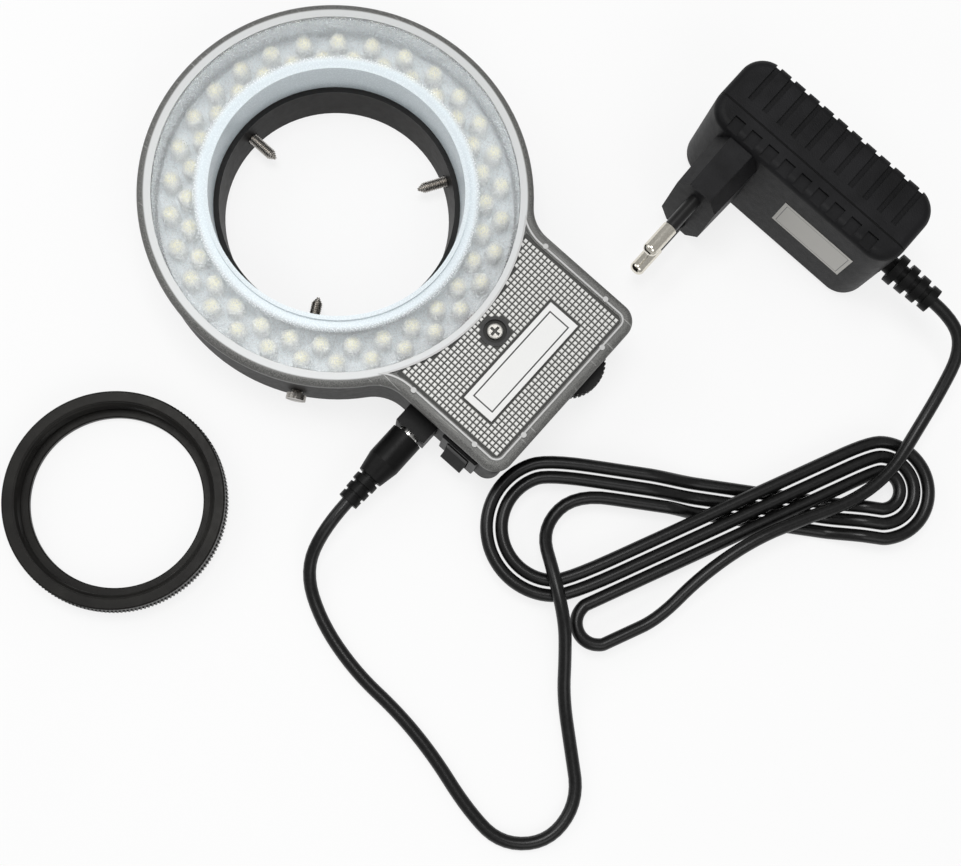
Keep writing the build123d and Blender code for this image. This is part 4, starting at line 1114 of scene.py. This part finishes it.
# %% Places of the dots
dot_pitch = 1.27
dot_lines = 39
first_line, last_line = 43.46, 74.7
dots_half_width = 23.7
corner_x, corner_y, corner_radius = 73.6, 22.5, 1.5
neck_radius = 48.5
screw_room = 4.0
sticker_room = (4.75, 16.7)
lines_x = np.arange(first_line, last_line, dot_pitch)
lines_y = (np.arange(dot_lines) - (dot_lines - 1) / 2) * dot_pitch
dot_x, dot_y = (grid.ravel() for grid in np.meshgrid(lines_x, lines_y))
past_corner = np.hypot(np.maximum(dot_x - corner_x, 0), np.maximum(np.abs(dot_y) - corner_y, 0))
from_sticker = np.abs((dot_x - sticker_centre[0], dot_y - sticker_centre[1]))
kept = (np.hypot(dot_x, dot_y) > neck_radius) & (np.abs(dot_y) < dots_half_width)
kept &= past_corner < corner_radius
kept &= np.hypot(dot_x - screw_x, dot_y) > screw_room
kept &= (from_sticker[0] > sticker_room[0]) | (from_sticker[1] > sticker_room[1])
dot_x, dot_y = dot_x[kept], dot_y[kept]
print(f"{len(dot_x)} dots of {len(kept)} places")

# %% [markdown]
# Every pyramid has four base corners and four top corners, given as half sizes of two squares. Its
# base is sunk a little below the panel's floor, so that no gap shows.

# %% Dots
dot_base = 0.6
dot_top = 0.36
dot_floor = 24.38
dot_height = 0.4
signs = np.array(((-1, -1), (1, -1), (1, 1), (-1, 1)))
squares = np.vstack((signs * dot_base, signs * dot_top))
levels = np.repeat((dot_floor, dot_floor + dot_height), 4)
points = np.stack(
    (
        dot_x[:, None] + squares[:, 0],
        dot_y[:, None] + squares[:, 1],
        np.broadcast_to(levels, (len(dot_x), 8)),
    ),
    axis=-1,
).reshape(-1, 3)
one_dot = np.array(((4, 5, 6, 7), (3, 2, 1, 0), (0, 1, 5, 4), (1, 2, 6, 5), (2, 3, 7, 6), (3, 0, 4, 7)))
faces = (one_dot[None] + np.arange(len(dot_x))[:, None, None] * 8).reshape(-1, 4)
make_piece("panel_dots", points, faces, "lamp", "cover_silver", smooth=False)

# %% [markdown]
# ## Floor and light
#
# The floor is a large white sheet. To the camera, in reflections and through the window, it is
# mostly plain white, with a little of the pale paper mixed in, so that a soft shadow stays. To
# everything else it is only the paper. It lies a hair below the pieces, so that no face shares its
# height.

# %% Floor
floor_half = 6.0
floor_z = -0.0002
plain_white = 0.8
g = Graph("floor")
camera_ray = g.node("ShaderNodeLightPath", out="Is Camera Ray")
paths = camera_ray.socket.node.outputs
glossy_ray, window_ray = Field(g, paths["Is Glossy Ray"]), Field(g, paths["Is Transmission Ray"])
seen = camera_ray.larger(glossy_ray).larger(window_ray) * plain_white
paper_colour = g.tint(grey(0.84), grey(0.88), g.noise(0.02))
paper = g.node("ShaderNodeBsdfDiffuse", {"Color": paper_colour})
glow = g.node("ShaderNodeEmission", {"Color": (1.0, 1.0, 1.0), "Strength": 1.0})
floor_white = g.output(g.node("ShaderNodeMixShader", (seen, paper, glow)))
floor_mesh = bpy.data.meshes.new("floor")
corners = [(float(a) * floor_half, float(b) * floor_half, floor_z) for a, b in signs]
floor_mesh.from_pydata(corners, [], [(0, 1, 2, 3)])
floor_mesh.materials.append(floor_white)
floor = bpy.data.objects.new("floor", floor_mesh)
scene.collection.objects.link(floor)
floor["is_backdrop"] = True

# %% [markdown]
# Three wide lights hang above, as the soft boxes of a product photograph do. A wide light gives a
# soft shadow. Each row is a name, a place and a width in metres, and a power in watts. All three
# aim at the neck between the ring and the handle.

# %% Lights
light_aim = Vector((0.05, 0.0, 0.0))
for name, place, size, power in (
    ("key", (-0.08, 0.04, 0.8), 0.3, 2.8),
    ("fill", (0.6, -0.3, 0.7), 0.5, 1.4),
    ("left", (-0.6, -0.2, 0.6), 0.5, 1.4),
):
    light_data = bpy.data.lights.new(name, "AREA")
    light_data.energy = power
    light_data.size = size
    light = bpy.data.objects.new(name, light_data)
    scene.collection.objects.link(light)
    light.rotation_euler = (light_aim - Vector(place)).to_track_quat("-Z", "Y").to_euler()
    light.location = place
    light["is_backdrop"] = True
    print(f"light {name}: {power} W")

# %% [markdown]
# The world lights the scene evenly from all sides. The camera sees it as white: its strength is the
# larger of the light it gives and 1 on a ray from the camera. From a low place the floor's far edge
# still shows faintly against it, because the floor keeps a little of its paper. The Standard view
# shows each colour about as it is written.

# %% World
world_light = 0.44
world = bpy.data.worlds.new("world")
world.use_nodes = True
world_nodes = world.node_tree.nodes
world_rays = world_nodes.new("ShaderNodeLightPath")
strength = world_nodes.new("ShaderNodeMath")
strength.operation = "MAXIMUM"
strength.inputs[1].default_value = world_light
world.node_tree.links.new(world_rays.outputs["Is Camera Ray"], strength.inputs[0])
world.node_tree.links.new(strength.outputs[0], world_nodes["Background"].inputs["Strength"])
world_nodes["Background"].inputs["Color"].default_value = (1.0, 1.0, 1.0, 1.0)
scene.world = world
scene.view_settings.view_transform = "Standard"
print(f"world light {world_light}")

# %% [markdown]
# ## Sizes
#
# The room that the model takes now is printed, as the room that it took at the start was.

# %% Print the sizes
end_low, end_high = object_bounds()
print(f"the dressed model fills {box_size(end_low, end_high)}")
